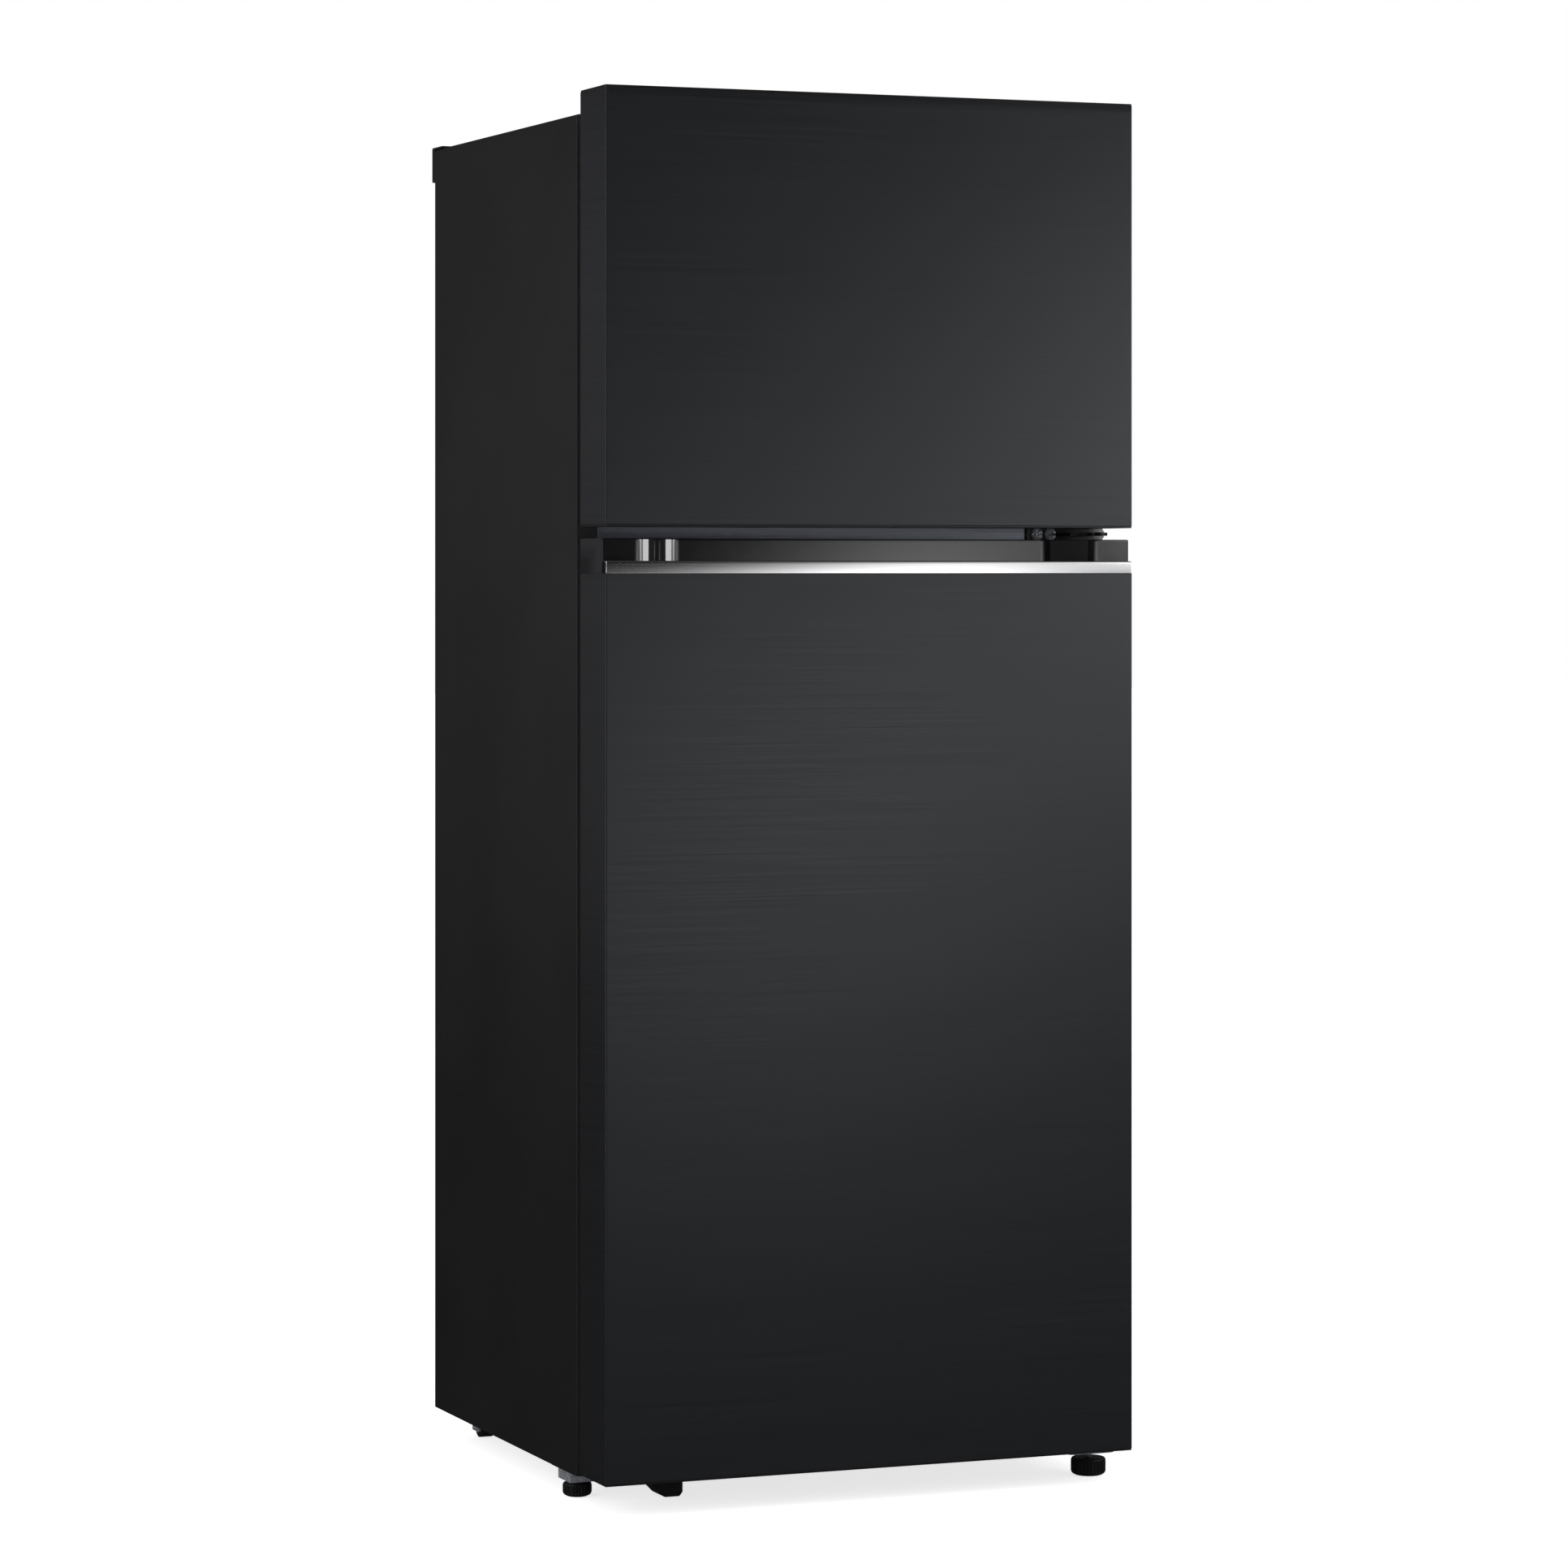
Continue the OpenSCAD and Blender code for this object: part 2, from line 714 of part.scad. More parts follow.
fan_at = [coil_x0 + coil_w + 40, machine_y + 80, case_z0 + 112];
fan_r = 48;
fan_hub_r = 12;
fan_hub_l = 14;
fan_blades = 5;
blade_t = 1.6;
blade_pitch = 35;
shaft_r = 2;

module condenser_motor() {
    color("#3d3f42") union() {
        x_rod([fan_at[0] + 6, fan_at[1], fan_at[2]], 30, 20);
        block([fan_at[0] + 16, fan_at[1] - 8, tray_top], [fan_at[0] + 26, fan_at[1] + 8, fan_at[2]]);
        x_rod([fan_at[0] - 14, fan_at[1], fan_at[2]], 22, shaft_r);
    }
}

// A bladed wheel of radius r round the X axis, blades pitched to push air
module fan_wheel(r) {
    blade_w = fan_hub_r * 1.4;
    difference() {
        union() {
            rotate([0, 90, 0]) cylinder(h = fan_hub_l, r = fan_hub_r, center = true);
            for (i = [0:fan_blades - 1])
                rotate([i * 360 / fan_blades, 0, 0]) translate([0, 0, fan_hub_r - 1])
                    rotate([0, 0, blade_pitch]) translate([-blade_t / 2, -blade_w / 2, 0])
                        cube([blade_t, blade_w, r - fan_hub_r]);
        }
        rotate([0, 90, 0]) cylinder(h = fan_hub_l + 2, r = shaft_r + pin_clear, center = true);
    }
}

module condenser_fan() {
    color("#d7d9db") translate(fan_at - [6, 0, 0]) fan_wheel(fan_r);
}

// Dish on the compressor in which the melted frost dries up
module drip_tray() {
    z = tray_top + mount_h + compressor_h;
    color("#2a2b2d") tub([compressor_at[0] - 80, machine_y + 12, z],
        [compressor_at[0] + 80, y_back - 14, z + 34], 12, 2);
}

// ---- Freezer inside ----

cover_y = room_back - evaporator_d;
evap_fan_at = [0, cover_y + 22, freezer_z0 + 300];
evap_fan_r = 50;
evap_lo_z = freezer_z0 + 24;
evap_w = 2 * room_x - 140;
evap_h = 170;
evap_d = 46;
evap_fins = 24;
evap_fin_t = 0.8;
evap_end = 10;
evap_side_t = 4;
evap_tube_r = 4;
evap_tube_pitch = [22, 28];

// Finned tube block between two side plates
module evaporator() {
    y = cover_y + 12;
    x0 = -evap_w / 2;
    z1 = evap_lo_z + evap_h;
    color("#c6cace") union() {
        for (i = [0:evap_fins - 1]) {
            x = x0 + i * evap_w / (evap_fins - 1);
            block([x, y, evap_lo_z], [x + evap_fin_t, y + evap_d, z1]);
        }
        for (r = [0:5], c = [0:1])
            x_rod([x0 - evap_end, y + 12 + c * evap_tube_pitch[0], evap_lo_z + 15 + r * evap_tube_pitch[1]],
                evap_w + 2 * evap_end + evap_fin_t, evap_tube_r);
        for (x = [x0 - evap_end - evap_side_t, -x0 + evap_end])
            block([x, y + 4, evap_lo_z], [x + evap_side_t, room_back, z1]);
    }
}

cover_wall = 2;
grille_r = evap_fan_r + 14;
grille_d = 8;
grille_slot = [92, 6];
grille_pitch = 11;
outlet_x = 150;
outlet_slot = [100, 6];
outlet_pitch = 14;
inlet_slot = [18, 8];
inlet_pitch = 30;

// A slot through the cover, from its lower left corner
module cover_slot(x, z, size) {
    block([x, cover_y - grille_d - 1, z], [x + size[0], cover_y + cover_wall + 1, z + size[1]]);
}

// Panel across the back of the freezer, with the fan grille, air outlets and a row of inlets
module evaporator_cover() {
    fan_z = evap_fan_at[2];
    color("#f2f3f4") difference() {
        union() {
            block([-room_x, cover_y, freezer_z0], [room_x, cover_y + cover_wall, freezer_z1]);
            for (x = [-room_x, room_x - cover_wall])
                block([x, cover_y, freezer_z0], [x + cover_wall, room_back, freezer_z1]);
            y_rod([0, cover_y - grille_d, fan_z], grille_d + cover_wall, grille_r);
        }
        y_rod([0, cover_y - grille_d + cover_wall, fan_z], grille_d + 4, grille_r - cover_wall);
        for (i = [-4:4])
            cover_slot(-grille_slot[0] / 2, fan_z + i * grille_pitch - grille_slot[1] / 2, grille_slot);
        for (s = [-1, 1], i = [0:4])
            cover_slot(s * outlet_x - outlet_slot[0] / 2, freezer_z1 - 60 - i * outlet_pitch, outlet_slot);
        for (i = [0:15]) cover_slot(-room_x + 40 + i * inlet_pitch, freezer_z0 + 10, inlet_slot);
        cover_slot(slider_x - 14, slider_z - 3, [slider_travel + 28, 6]);
    }
}

module evaporator_motor() {
    color("#3d3f42") union() {
        y_rod([0, evap_fan_at[1] + 14, evap_fan_at[2]], room_back - evap_fan_at[1] - 14, 18);
        y_rod([0, evap_fan_at[1] - 9, evap_fan_at[2]], 26, shaft_r);
    }
}

module evaporator_fan() {
    color("#d7d9db") translate(evap_fan_at) rotate([0, 0, 90]) fan_wheel(evap_fan_r);
}

slider_x = 120;
slider_z = freezer_z0 + 330;
slider_travel = 40;

// Small slide that sets how much cold air the freezer keeps
module airflow_slider() {
    color("#8fa6b8") union() {
        block([slider_x - 8, cover_y - 8, slider_z - 7], [slider_x + 8, cover_y, slider_z + 7]);
        block([slider_x - 6, cover_y - 1, slider_z - 2.9], [slider_x + 6, cover_y + 2, slider_z + 2.9]);
        block([slider_x - 9, cover_y + 2, slider_z - 6], [slider_x + 9, cover_y + 4, slider_z + 6]);
    }
}

freezer_shelf_z = freezer_z1 - ice_space_h;

shelf_edge = 12;
shelf_rail = [10, 8];
shelf_bars = 22;
bar_r = 2;

// Barred shelf: a front edge, two side rails and a back rail with round bars between
module freezer_shelf() {
    z = freezer_shelf_z;
    color("#dfe6e8") union() {
        block([-room_x, shelf_front, z - shelf_edge], [room_x, shelf_front + shelf_edge, z]);
        block([-room_x, cover_y - shelf_edge, z - shelf_rail[1]], [room_x, cover_y, z]);
        for (x = [-room_x, room_x - shelf_rail[0]])
            block([x, shelf_front, z - shelf_rail[1]], [x + shelf_rail[0], cover_y, z]);
        for (i = [1:shelf_bars])
            y_rod([-room_x + i * 2 * room_x / (shelf_bars + 1), shelf_front + 4, z - bar_r],
                cover_y - shelf_front - 8, bar_r);
    }
}

// Twist tray, its frame and the bin below it
tray_half_w = 52;
tray_len = 190;
tray_h = 28;
rack_gap = 6;
rack_wall = 3;
rack_x0 = -room_x + 8;
rack_x1 = rack_x0 + 2 * (tray_half_w + rack_gap + rack_wall);
rack_x = (rack_x0 + rack_x1) / 2;
rack_y0 = bin_back + drawer_travel + drawer_gap;
rack_y1 = rack_y0 + tray_len + 2 * (rack_wall + 4);
rack_z0 = freezer_shelf_z;
ice_bin_h = 78;
swing_r = sqrt(pow(tray_half_w, 2) + pow(tray_h / 2, 2));
tray_z = rack_z0 + ice_bin_h + 4 + swing_r + 1;
trunnion_r = 5;

module ice_rack() {
    top = tray_z + tray_h / 2 + 8;
    color("#e4e8ea") difference() {
        union() {
            for (x = [rack_x0, rack_x1 - rack_wall])
                block([x, rack_y0, rack_z0], [x + rack_wall, rack_y1, top]);
            for (y = [rack_y0, rack_y1 - rack_wall])
                block([rack_x0, y, tray_z - 14], [rack_x1, y + rack_wall, top]);
        }
        y_rod([rack_x, rack_y0 - 1, tray_z], rack_y1 - rack_y0 + 2, trunnion_r + pin_clear);
    }
}

module ice_tray() {
    x0 = rack_x - tray_half_w;
    y0 = rack_y0 + rack_wall + 4;
    nx = 2;
    ny = 6;
    cell = [(2 * tray_half_w - 4) / nx, (tray_len - 4) / ny];
    color("#9db9c9") union() {
        difference() {
            block([x0, y0, tray_z - tray_h / 2],
                [rack_x + tray_half_w, y0 + tray_len, tray_z + tray_h / 2]);
            for (i = [0:nx - 1], j = [0:ny - 1])
                block([x0 + 3.5 + i * cell[0], y0 + 3 + j * cell[1], tray_z - tray_h / 2 + 2],
                    [x0 + 0.5 + (i + 1) * cell[0], y0 + 1 + (j + 1) * cell[1], tray_z + tray_h]);
        }
        y_rod([rack_x, rack_y0 - 6, tray_z], 11 + rack_wall, trunnion_r);
        y_rod([rack_x, y0 + tray_len - 1, tray_z], 6 + rack_wall, trunnion_r);
        y_rod([rack_x, rack_y0 - 20, tray_z], 15, 17);
        block([rack_x - 4, rack_y0 - 26, tray_z - 16], [rack_x + 4, rack_y0 - 19, tray_z + 16]);
    }
}

module ice_bin() {
    color("#d5e2e8") tub([rack_x0 + rack_wall + 2, rack_y0, rack_z0 + 0.5],
        [rack_x1 - rack_wall - 2, rack_y1, rack_z0 + ice_bin_h], 8, bin_wall);
}

// ---- Fridge inside ----

crisper_top = fridge_z0 + crisper_h + 2;
crisper_front = y_door_back + rim_d + drawer_travel + drawer_gap;
crisper_cover_z = max(crisper_top + trim_rim_h, step_z);
chill_front = bin_back + drawer_travel + drawer_gap;
chill_z0 = crisper_cover_z + 0.5;
lower_shelf_z = chill_z0 + chill_h + trim_rim_h + 2;
shelves = 3;
shelf_pitch = (fridge_z1 - lower_shelf_z) / shelves;
duct_d = 42;
duct_y = room_back - duct_d;
duct_w = 170;

function shelf_level(i) = lower_shelf_z + i * shelf_pitch;

module shelf_frame(z, y0, y1) {
    difference() {
        block([-room_x, y0, z - trim_rim_h], [room_x, y1, z]);
        block([-room_x + 9, y0 + 3, z - trim_rim_h - 1], [room_x - 9, y1 - 9, z - glass_t]);
        block([-room_x + 4, y0 + 4, z - glass_t], [room_x - 4, y1 - 4, z + 1]);
        block([-room_x + 14, y0 + 16, z - trim_rim_h - 1], [room_x - 14, y1 - 16, z + 1]);
    }
}

module shelf_frames() {
    color("#dfe4e6") {
        for (i = [0:shelves - 1]) shelf_frame(shelf_level(i), shelf_front, duct_y);
        shelf_frame(crisper_cover_z, crisper_front - 4, step_y);
    }
}

module shelf_pane(z, y0, y1) {
    block([-room_x + 4, y0 + 4, z - glass_t], [room_x - 4, y1 - 4, z]);
}

module shelf_glass() {
    color("#b8cfd2", 0.5) {
        for (i = [0:shelves - 1]) shelf_pane(shelf_level(i), shelf_front, duct_y);
        shelf_pane(crisper_cover_z, crisper_front - 4, step_y);
    }
}

crisper_gap = 4;
lip_h = 26;

// A drawer with a raised front that carries a grip
module drawer(x0, x1, y0, y1, z0, z1) {
    difference() {
        tub([x0, y0, z0], [x1, y1, z1], 10, bin_wall);
        block([x0 - 1, y0 + 24, z1 - 8], [x1 + 1, y1 + 1, z1 + 1]);
    }
    block([x0 + 14, y0 - 3, z1 - lip_h], [x1 - 14, y0 + 1, z1 - lip_h + 6]);
}

module crisper_left() {
    color("#c9dbe1", 0.7) drawer(-room_x + crisper_gap, -crisper_gap / 2, crisper_front, step_y - 4,
        fridge_z0 + 0.5, crisper_top - 0.5);
}

module crisper_right() {
    color("#c9dbe1", 0.7) drawer(crisper_gap / 2, room_x - crisper_gap, crisper_front, step_y - 4,
        fridge_z0 + 0.5, crisper_top - 0.5);
}

module chill_drawer() {
    color("#c9dbe1", 0.7) drawer(-room_x + crisper_gap, room_x - crisper_gap, chill_front, duct_y - 4,
        chill_z0, chill_z0 + chill_h);
}

duct_slot_x = 50;
duct_slot_w = 44;
duct_slot_h = 8;
duct_wall = 3;

module duct_slot(x, z) {
    block([x - duct_slot_w / 2, duct_y - 1, z],
        [x + duct_slot_w / 2, duct_y + duct_wall + 1, z + duct_slot_h]);
}

// Air column on the back wall with outlets at every shelf
module duct_cover() {
    z0 = lower_shelf_z + 6;
    z1 = fridge_z1;
    color("#f2f3f4") difference() {
        block([-duct_w / 2, duct_y, z0], [duct_w / 2, room_back, z1]);
        block([-duct_w / 2 + duct_wall, duct_y + duct_wall, z0 + duct_wall],
            [duct_w / 2 - duct_wall, room_back + 1, z1 - duct_wall]);
        for (i = [0:shelves - 1], s = [-1, 1], j = [0:2])
            duct_slot(s * duct_slot_x, shelf_level(i) + 60 + j * 2 * duct_slot_h);
    }
}

housing_w = 240;
housing_h = 44;
housing_d = 110;
housing_y = shelf_front + 14;
lens_lo = [-housing_w / 2 + 12, housing_y + 12];
lens_hi = [20, housing_y + housing_d - 12];
knob_r = 15;
knob_stem_r = 4;
knob_at = [70, housing_y, fridge_z1 - housing_h / 2];

module control_housing() {
    color("#eceeef") difference() {
        block([-housing_w / 2, housing_y, fridge_z1 - housing_h],
            [housing_w / 2, housing_y + housing_d, fridge_z1]);
        y_rod([knob_at[0], housing_y - 1, knob_at[2]], 14, knob_stem_r + pin_clear);
        block([lens_lo[0], lens_lo[1], fridge_z1 - housing_h - 1], [lens_hi[0], lens_hi[1], fridge_z1 - 6]);
    }
}

module temperature_knob() {
    color("#8fa6b8") union() {
        y_rod([knob_at[0], housing_y - 0.5, knob_at[2]], 10, knob_stem_r);
        y_rod([knob_at[0], housing_y - 12.5, knob_at[2]], 12, knob_r);
        block([knob_at[0] - 2, housing_y - 18, knob_at[2] - knob_r + 2],
            [knob_at[0] + 2, housing_y - 12, knob_at[2] + knob_r - 2]);
    }
}

module lamp_lens() {
    color("#fbfbf4") block([lens_lo[0], lens_lo[1], fridge_z1 - housing_h],
        [lens_hi[0], lens_hi[1], fridge_z1 - housing_h + 10]);
}

// ---- Doors ----

// Outline of a door in plan, with rounded front edges
module door_plan(inset, back) {
    r = max(door_edge_r - inset, 0.5);
    x = half - inset;
    y0 = y_door + inset;
    translate([-x, y0 + r]) square([2 * x, back - y0 - r]);
    translate([-x + r, y0]) square([2 * (x - r), r + 1]);
    for (s = [-1, 1]) translate([s * (x - r), y0 + r]) circle(r);
}

module door_prism(inset, back, z0, z1) {
    translate([0, 0, z0]) linear_extrude(z1 - z0) door_plan(inset, back);
}

module door_skin(z0, z1) {
    difference() {
        door_prism(0, y_door_back, z0, z1);
        door_prism(sheet, y_door_back + 1, z0 - 1, z1 + 1);
    }
}

// Corner cut at the top of the freezer door that clears the hinge arm as the door swings
module hinge_notch() {
    block([pin_x - arm_w / 2 - notch_gap, notch_front, notch_z], [half + 1, y_door_back + 1, door_top + 1]);
}

socket_h = pin_len + 4;
socket_wall = 4;

module top_socket_body() {
    block([pin_x - arm_w / 2 - notch_gap - socket_wall, notch_front - socket_wall, notch_z - socket_h],
        [half - sheet, y_door_back - liner_t, door_top - cap_t]);
}

// Solid corner that holds a pin at the bottom of a door (up from z0) or at its top (down from z0)
module pin_socket(z0, h) {
    block([pin_x - 22, pin_y - 22, z0], [half - sheet, pin_y + 22, z0 + h]);
}

module freezer_door_panel() {
    color("#2f3133") difference() {
        door_skin(freezer_door_z0 + cap_t, door_top - cap_t);
        hinge_notch();
    }
}

module freezer_door_caps() {
    color("#141415") {
        difference() {
            union() {
                door_prism(0.4, y_door_back, door_top - cap_t, door_top);
                top_socket_body();
            }
            hinge_notch();
            z_rod([pin_x, pin_y, notch_z - pin_len - 1], pin_len + 2, hole_r);
        }
        difference() {
            union() {
                door_prism(0.4, y_door_back, freezer_door_z0, freezer_door_z0 + cap_t);
                pin_socket(freezer_door_z0, socket_h);
            }
            z_rod([pin_x, pin_y, freezer_door_z0 - 1], pin_len + 2, hole_r);
        }
    }
}

module freezer_door_foam() {
    color("#e9dfae") difference() {
        door_prism(sheet, y_door_back - liner_t, freezer_door_z0 + cap_t, door_top - cap_t);
        top_socket_body();
        hinge_notch();
        pin_socket(freezer_door_z0, socket_h);
    }
}

module door_liner(z0, z1, rim_z0, rim_z1) {
    difference() {
        union() {
            block([-half + sheet, y_door_back - liner_t, z0], [half - sheet, y_door_back, z1]);
            upright_ring([-rim_x, rim_z0], [rim_x, rim_z1], y_door_back - 0.5, y_door_back + rim_d, rim_w);
        }
        hinge_notch();
    }
}

freezer_rim = [freezer_z0 + rim_end_gap, freezer_z1 - rim_end_gap];
fridge_rim = [fridge_z0 + rim_end_gap, fridge_z1 - rim_end_gap];

module freezer_door_liner() {
    color("#eef0f1") door_liner(freezer_door_z0 + cap_t, door_top - cap_t, freezer_rim[0], freezer_rim[1]);
}

module gasket(z0, z1) {
    upright_ring([-gasket_x, z0], [gasket_x, z1], y_door_back, y_case - rail_proud - seal_gap, gasket_w);
}

module freezer_door_gasket() {
    color("#3c3d3f") gasket(freezer_door_z0 + gasket_end, case_top - 5);
}

module door_bin(z, h) {
    tub([-bin_x, y_door_back, z], [bin_x, bin_back, z + h], 12, bin_wall);
}

bin_floor_gap = 8;
freezer_bin_pitch = (freezer_rim[1] - freezer_rim[0] - rim_w) / 2;

module freezer_door_bins() {
    color("#c9dbe1", 0.7) for (i = [0, 1])
        door_bin(freezer_rim[0] + rim_w + bin_floor_gap + i * freezer_bin_pitch, bin_h);
}

recess_z0 = fridge_door_top - recess_h;
trim_top = recess_z0 + trim_h;
groove_z = trim_top - groove_d;
insert_z0 = groove_z - 3;
insert_back = y_door + recess_d + 4;

module fridge_door_panel() {
    color("#2f3133") difference() {
        door_skin(door_z0 + cap_t, fridge_door_top);
        block([-half - 1, y_door - 1, recess_z0], [half + 1, y_door + recess_land, fridge_door_top + 1]);
    }
}

module fridge_door_caps() {
    color("#141415") {
        difference() {
            union() {
                block([-half + sheet, insert_back, fridge_door_top - cap_t],
                    [half - sheet, y_door_back, fridge_door_top]);
                pin_top_socket();
            }
            z_rod([pin_x, pin_y, fridge_door_top - pin_len - 1], pin_len + 2, hole_r);
        }
        difference() {
            union() {
                door_prism(0.4, y_door_back, door_z0, door_z0 + cap_t);
                pin_socket(door_z0, socket_h);
            }
            z_rod([pin_x, pin_y, door_z0 - 1], pin_len + 2, hole_r);
        }
    }
}

module pin_top_socket() {
    block([pin_x - 22, insert_back, fridge_door_top - socket_h], [half - sheet, pin_y + 22, fridge_door_top]);
}

module fridge_door_foam() {
    color("#e9dfae") difference() {
        door_prism(sheet, y_door_back - liner_t, door_z0 + cap_t, fridge_door_top - cap_t);
        block([-half, y_door, insert_z0], [half, insert_back, fridge_door_top]);
        pin_socket(door_z0, socket_h);
        pin_top_socket();
    }
}

module fridge_door_liner() {
    color("#eef0f1") door_liner(door_z0 + cap_t, fridge_door_top - cap_t, fridge_rim[0], fridge_rim[1]);
}

module fridge_door_gasket() {
    color("#3c3d3f") gasket(door_z0 + gasket_end, fridge_door_top - gasket_end);
}

first_bin_z = crisper_cover_z + bin_floor_gap;
fridge_bins = 4;
bins_top = fridge_rim[1] - rim_w;
fridge_bin_pitch = (bins_top - first_bin_z) / fridge_bins;
upper_bin_z = first_bin_z + bottle_bin_h + bin_shelf_gap;
upper_bin_pitch = (bins_top - upper_bin_z) / (fridge_bins - 1);

// Bins are spread evenly, but the deep bottle bin keeps its own height clear
function fridge_bin_level(i) =
    i == 0 ? first_bin_z : max(first_bin_z + i * fridge_bin_pitch, upper_bin_z + (i - 1) * upper_bin_pitch);

module fridge_door_bins() {
    color("#c9dbe1", 0.7) for (i = [0:fridge_bins - 1])
        door_bin(fridge_bin_level(i), i == 0 ? bottle_bin_h : bin_h);
}

// Front line of the recess wall from one flat end to the deep middle: two arcs that run into each other
sweep_drop = recess_d - recess_land;
sweep_a = 2 * atan(sweep_drop / sweep_len);
sweep_r = sweep_len / 2 / sin(sweep_a);
recess_x = half - sheet - 0.2;
sweep_x0 = recess_x - land_len;
left_sweep = concat(
    arc_points([-sweep_x0, y_door + recess_land + sweep_r], sweep_r, -90, -90 + sweep_a, 8),
    arc_points([-sweep_x0 + sweep_len, y_door + recess_d - sweep_r], sweep_r, 90 + sweep_a, 90, 8));
right_sweep = [for (i = [len(left_sweep) - 1:-1:0]) [-left_sweep[i][0], left_sweep[i][1]]];

// Gloss moulding that forms the finger recess: lip, groove floor and curved back wall in one piece
module handle_recess() {
    color("#101113") union() {
        translate([0, 0, groove_z]) linear_extrude(fridge_door_top - groove_z) polygon(concat(
            [[-recess_x, y_door + recess_land]], left_sweep, right_sweep,
            [[recess_x, y_door + recess_land], [recess_x, insert_back], [-recess_x, insert_back]]));
        block([-recess_x, y_door + sheet, insert_z0], [recess_x, insert_back, groove_z]);
        block([-recess_x, y_door + sheet, insert_z0], [recess_x, y_door + lip_t, recess_z0]);
        block([-recess_x, y_door + trim_t, insert_z0], [recess_x, y_door + lip_t, trim_top - 1]);
        for (s = [-1, 1]) block([s > 0 ? sweep_x0 : -recess_x, y_door + trim_t, insert_z0],
            [s > 0 ? recess_x : -sweep_x0, y_door + recess_land, trim_top - 1]);
    }
}

trim_t = 3;

// Bright trim that caps the grip lip
module handle_trim() {
    x = half - 1;
    color("#d9dadb") union() {
        block([-x, y_door, recess_z0], [x, y_door + trim_t, trim_top]);
        block([-x, y_door, trim_top - 1], [x, y_door + lip_t, trim_top]);
    }
}

outer_case();
back_panel();
base_pan();
insulation_foam();
freezer_liner();
fridge_liner();
centre_rail();
top_hinge();
top_hinge_cover();
centre_hinge();
bottom_hinge();
hinge_screws();
left_leg_bracket();
support_block();
rear_grips();
machine_cover();
compressor_tray();
roller_axles();
compressor();
condenser();
condenser_motor();
condenser_fan();
drip_tray();
cord_gland();
evaporator();
evaporator_cover();
evaporator_motor();
evaporator_fan();
airflow_slider();
freezer_shelf();
ice_rack();
ice_tray();
ice_bin();
duct_cover();
control_housing();
temperature_knob();
lamp_lens();
shelf_frames();
shelf_glass();
crisper_left();
crisper_right();
chill_drawer();
foot_left();
foot_right();
roller_left();
roller_right();
freezer_door_panel();
freezer_door_foam();
freezer_door_liner();
freezer_door_gasket();
freezer_door_caps();
freezer_door_bins();
fridge_door_panel();
fridge_door_foam();
fridge_door_liner();
fridge_door_gasket();
fridge_door_caps();
fridge_door_bins();
handle_recess();
handle_trim();
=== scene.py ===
"""A free-standing refrigerator with its freezer on top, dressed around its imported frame."""

import json
import math

import bmesh
import bpy
import numpy as np
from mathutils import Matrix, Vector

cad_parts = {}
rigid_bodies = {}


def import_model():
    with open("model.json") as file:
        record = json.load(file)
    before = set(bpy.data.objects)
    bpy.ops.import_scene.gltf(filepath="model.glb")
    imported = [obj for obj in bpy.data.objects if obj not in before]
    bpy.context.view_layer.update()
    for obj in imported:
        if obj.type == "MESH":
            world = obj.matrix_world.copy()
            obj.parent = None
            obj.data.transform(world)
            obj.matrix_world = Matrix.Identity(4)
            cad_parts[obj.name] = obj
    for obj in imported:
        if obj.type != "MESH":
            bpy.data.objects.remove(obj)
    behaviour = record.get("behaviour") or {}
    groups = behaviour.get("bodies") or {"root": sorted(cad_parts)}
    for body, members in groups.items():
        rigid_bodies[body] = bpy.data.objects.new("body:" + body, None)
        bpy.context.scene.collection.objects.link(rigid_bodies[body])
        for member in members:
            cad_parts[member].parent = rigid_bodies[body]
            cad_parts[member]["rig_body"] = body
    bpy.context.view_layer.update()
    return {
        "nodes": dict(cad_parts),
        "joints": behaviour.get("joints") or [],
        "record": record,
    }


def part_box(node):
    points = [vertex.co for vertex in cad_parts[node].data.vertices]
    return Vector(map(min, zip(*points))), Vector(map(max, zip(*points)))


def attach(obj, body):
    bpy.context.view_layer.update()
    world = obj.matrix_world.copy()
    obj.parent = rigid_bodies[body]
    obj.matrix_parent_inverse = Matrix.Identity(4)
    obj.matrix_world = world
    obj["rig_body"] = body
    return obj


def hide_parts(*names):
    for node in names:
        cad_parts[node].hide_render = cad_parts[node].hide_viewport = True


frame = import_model()

# ---------------------------------------------------------------------------------------------
# Camera. It stands in front of the left corner at chest height and looks level, so upright edges
# stay upright; the frame is shifted down because the eye is above the middle of the object.

DOOR_FRONT_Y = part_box("freezer_door_panel")[0].y
EYE = (-2.4152, DOOR_FRONT_Y - 5.7414, 1.1345)
EYE_TURN = math.radians(21.796)

camera_data = bpy.data.cameras.new("camera")
camera_data.sensor_width = 36.0
camera_data.lens = 116.68
camera_data.shift_y = -0.1331
camera_data.clip_end = 100
camera = bpy.data.objects.new("camera", camera_data)
camera.location = EYE
camera.rotation_euler = (math.pi / 2, 0, -EYE_TURN)
bpy.context.scene.collection.objects.link(camera)
bpy.context.scene.camera = camera
bpy.context.scene.view_settings.view_transform = "Standard"


# ---------------------------------------------------------------------------------------------
# Studio. A pale seamless floor and surround, which only look bright to the eye: polished faces
# see a dim room with a few soft lights in it, as they would among black flags.

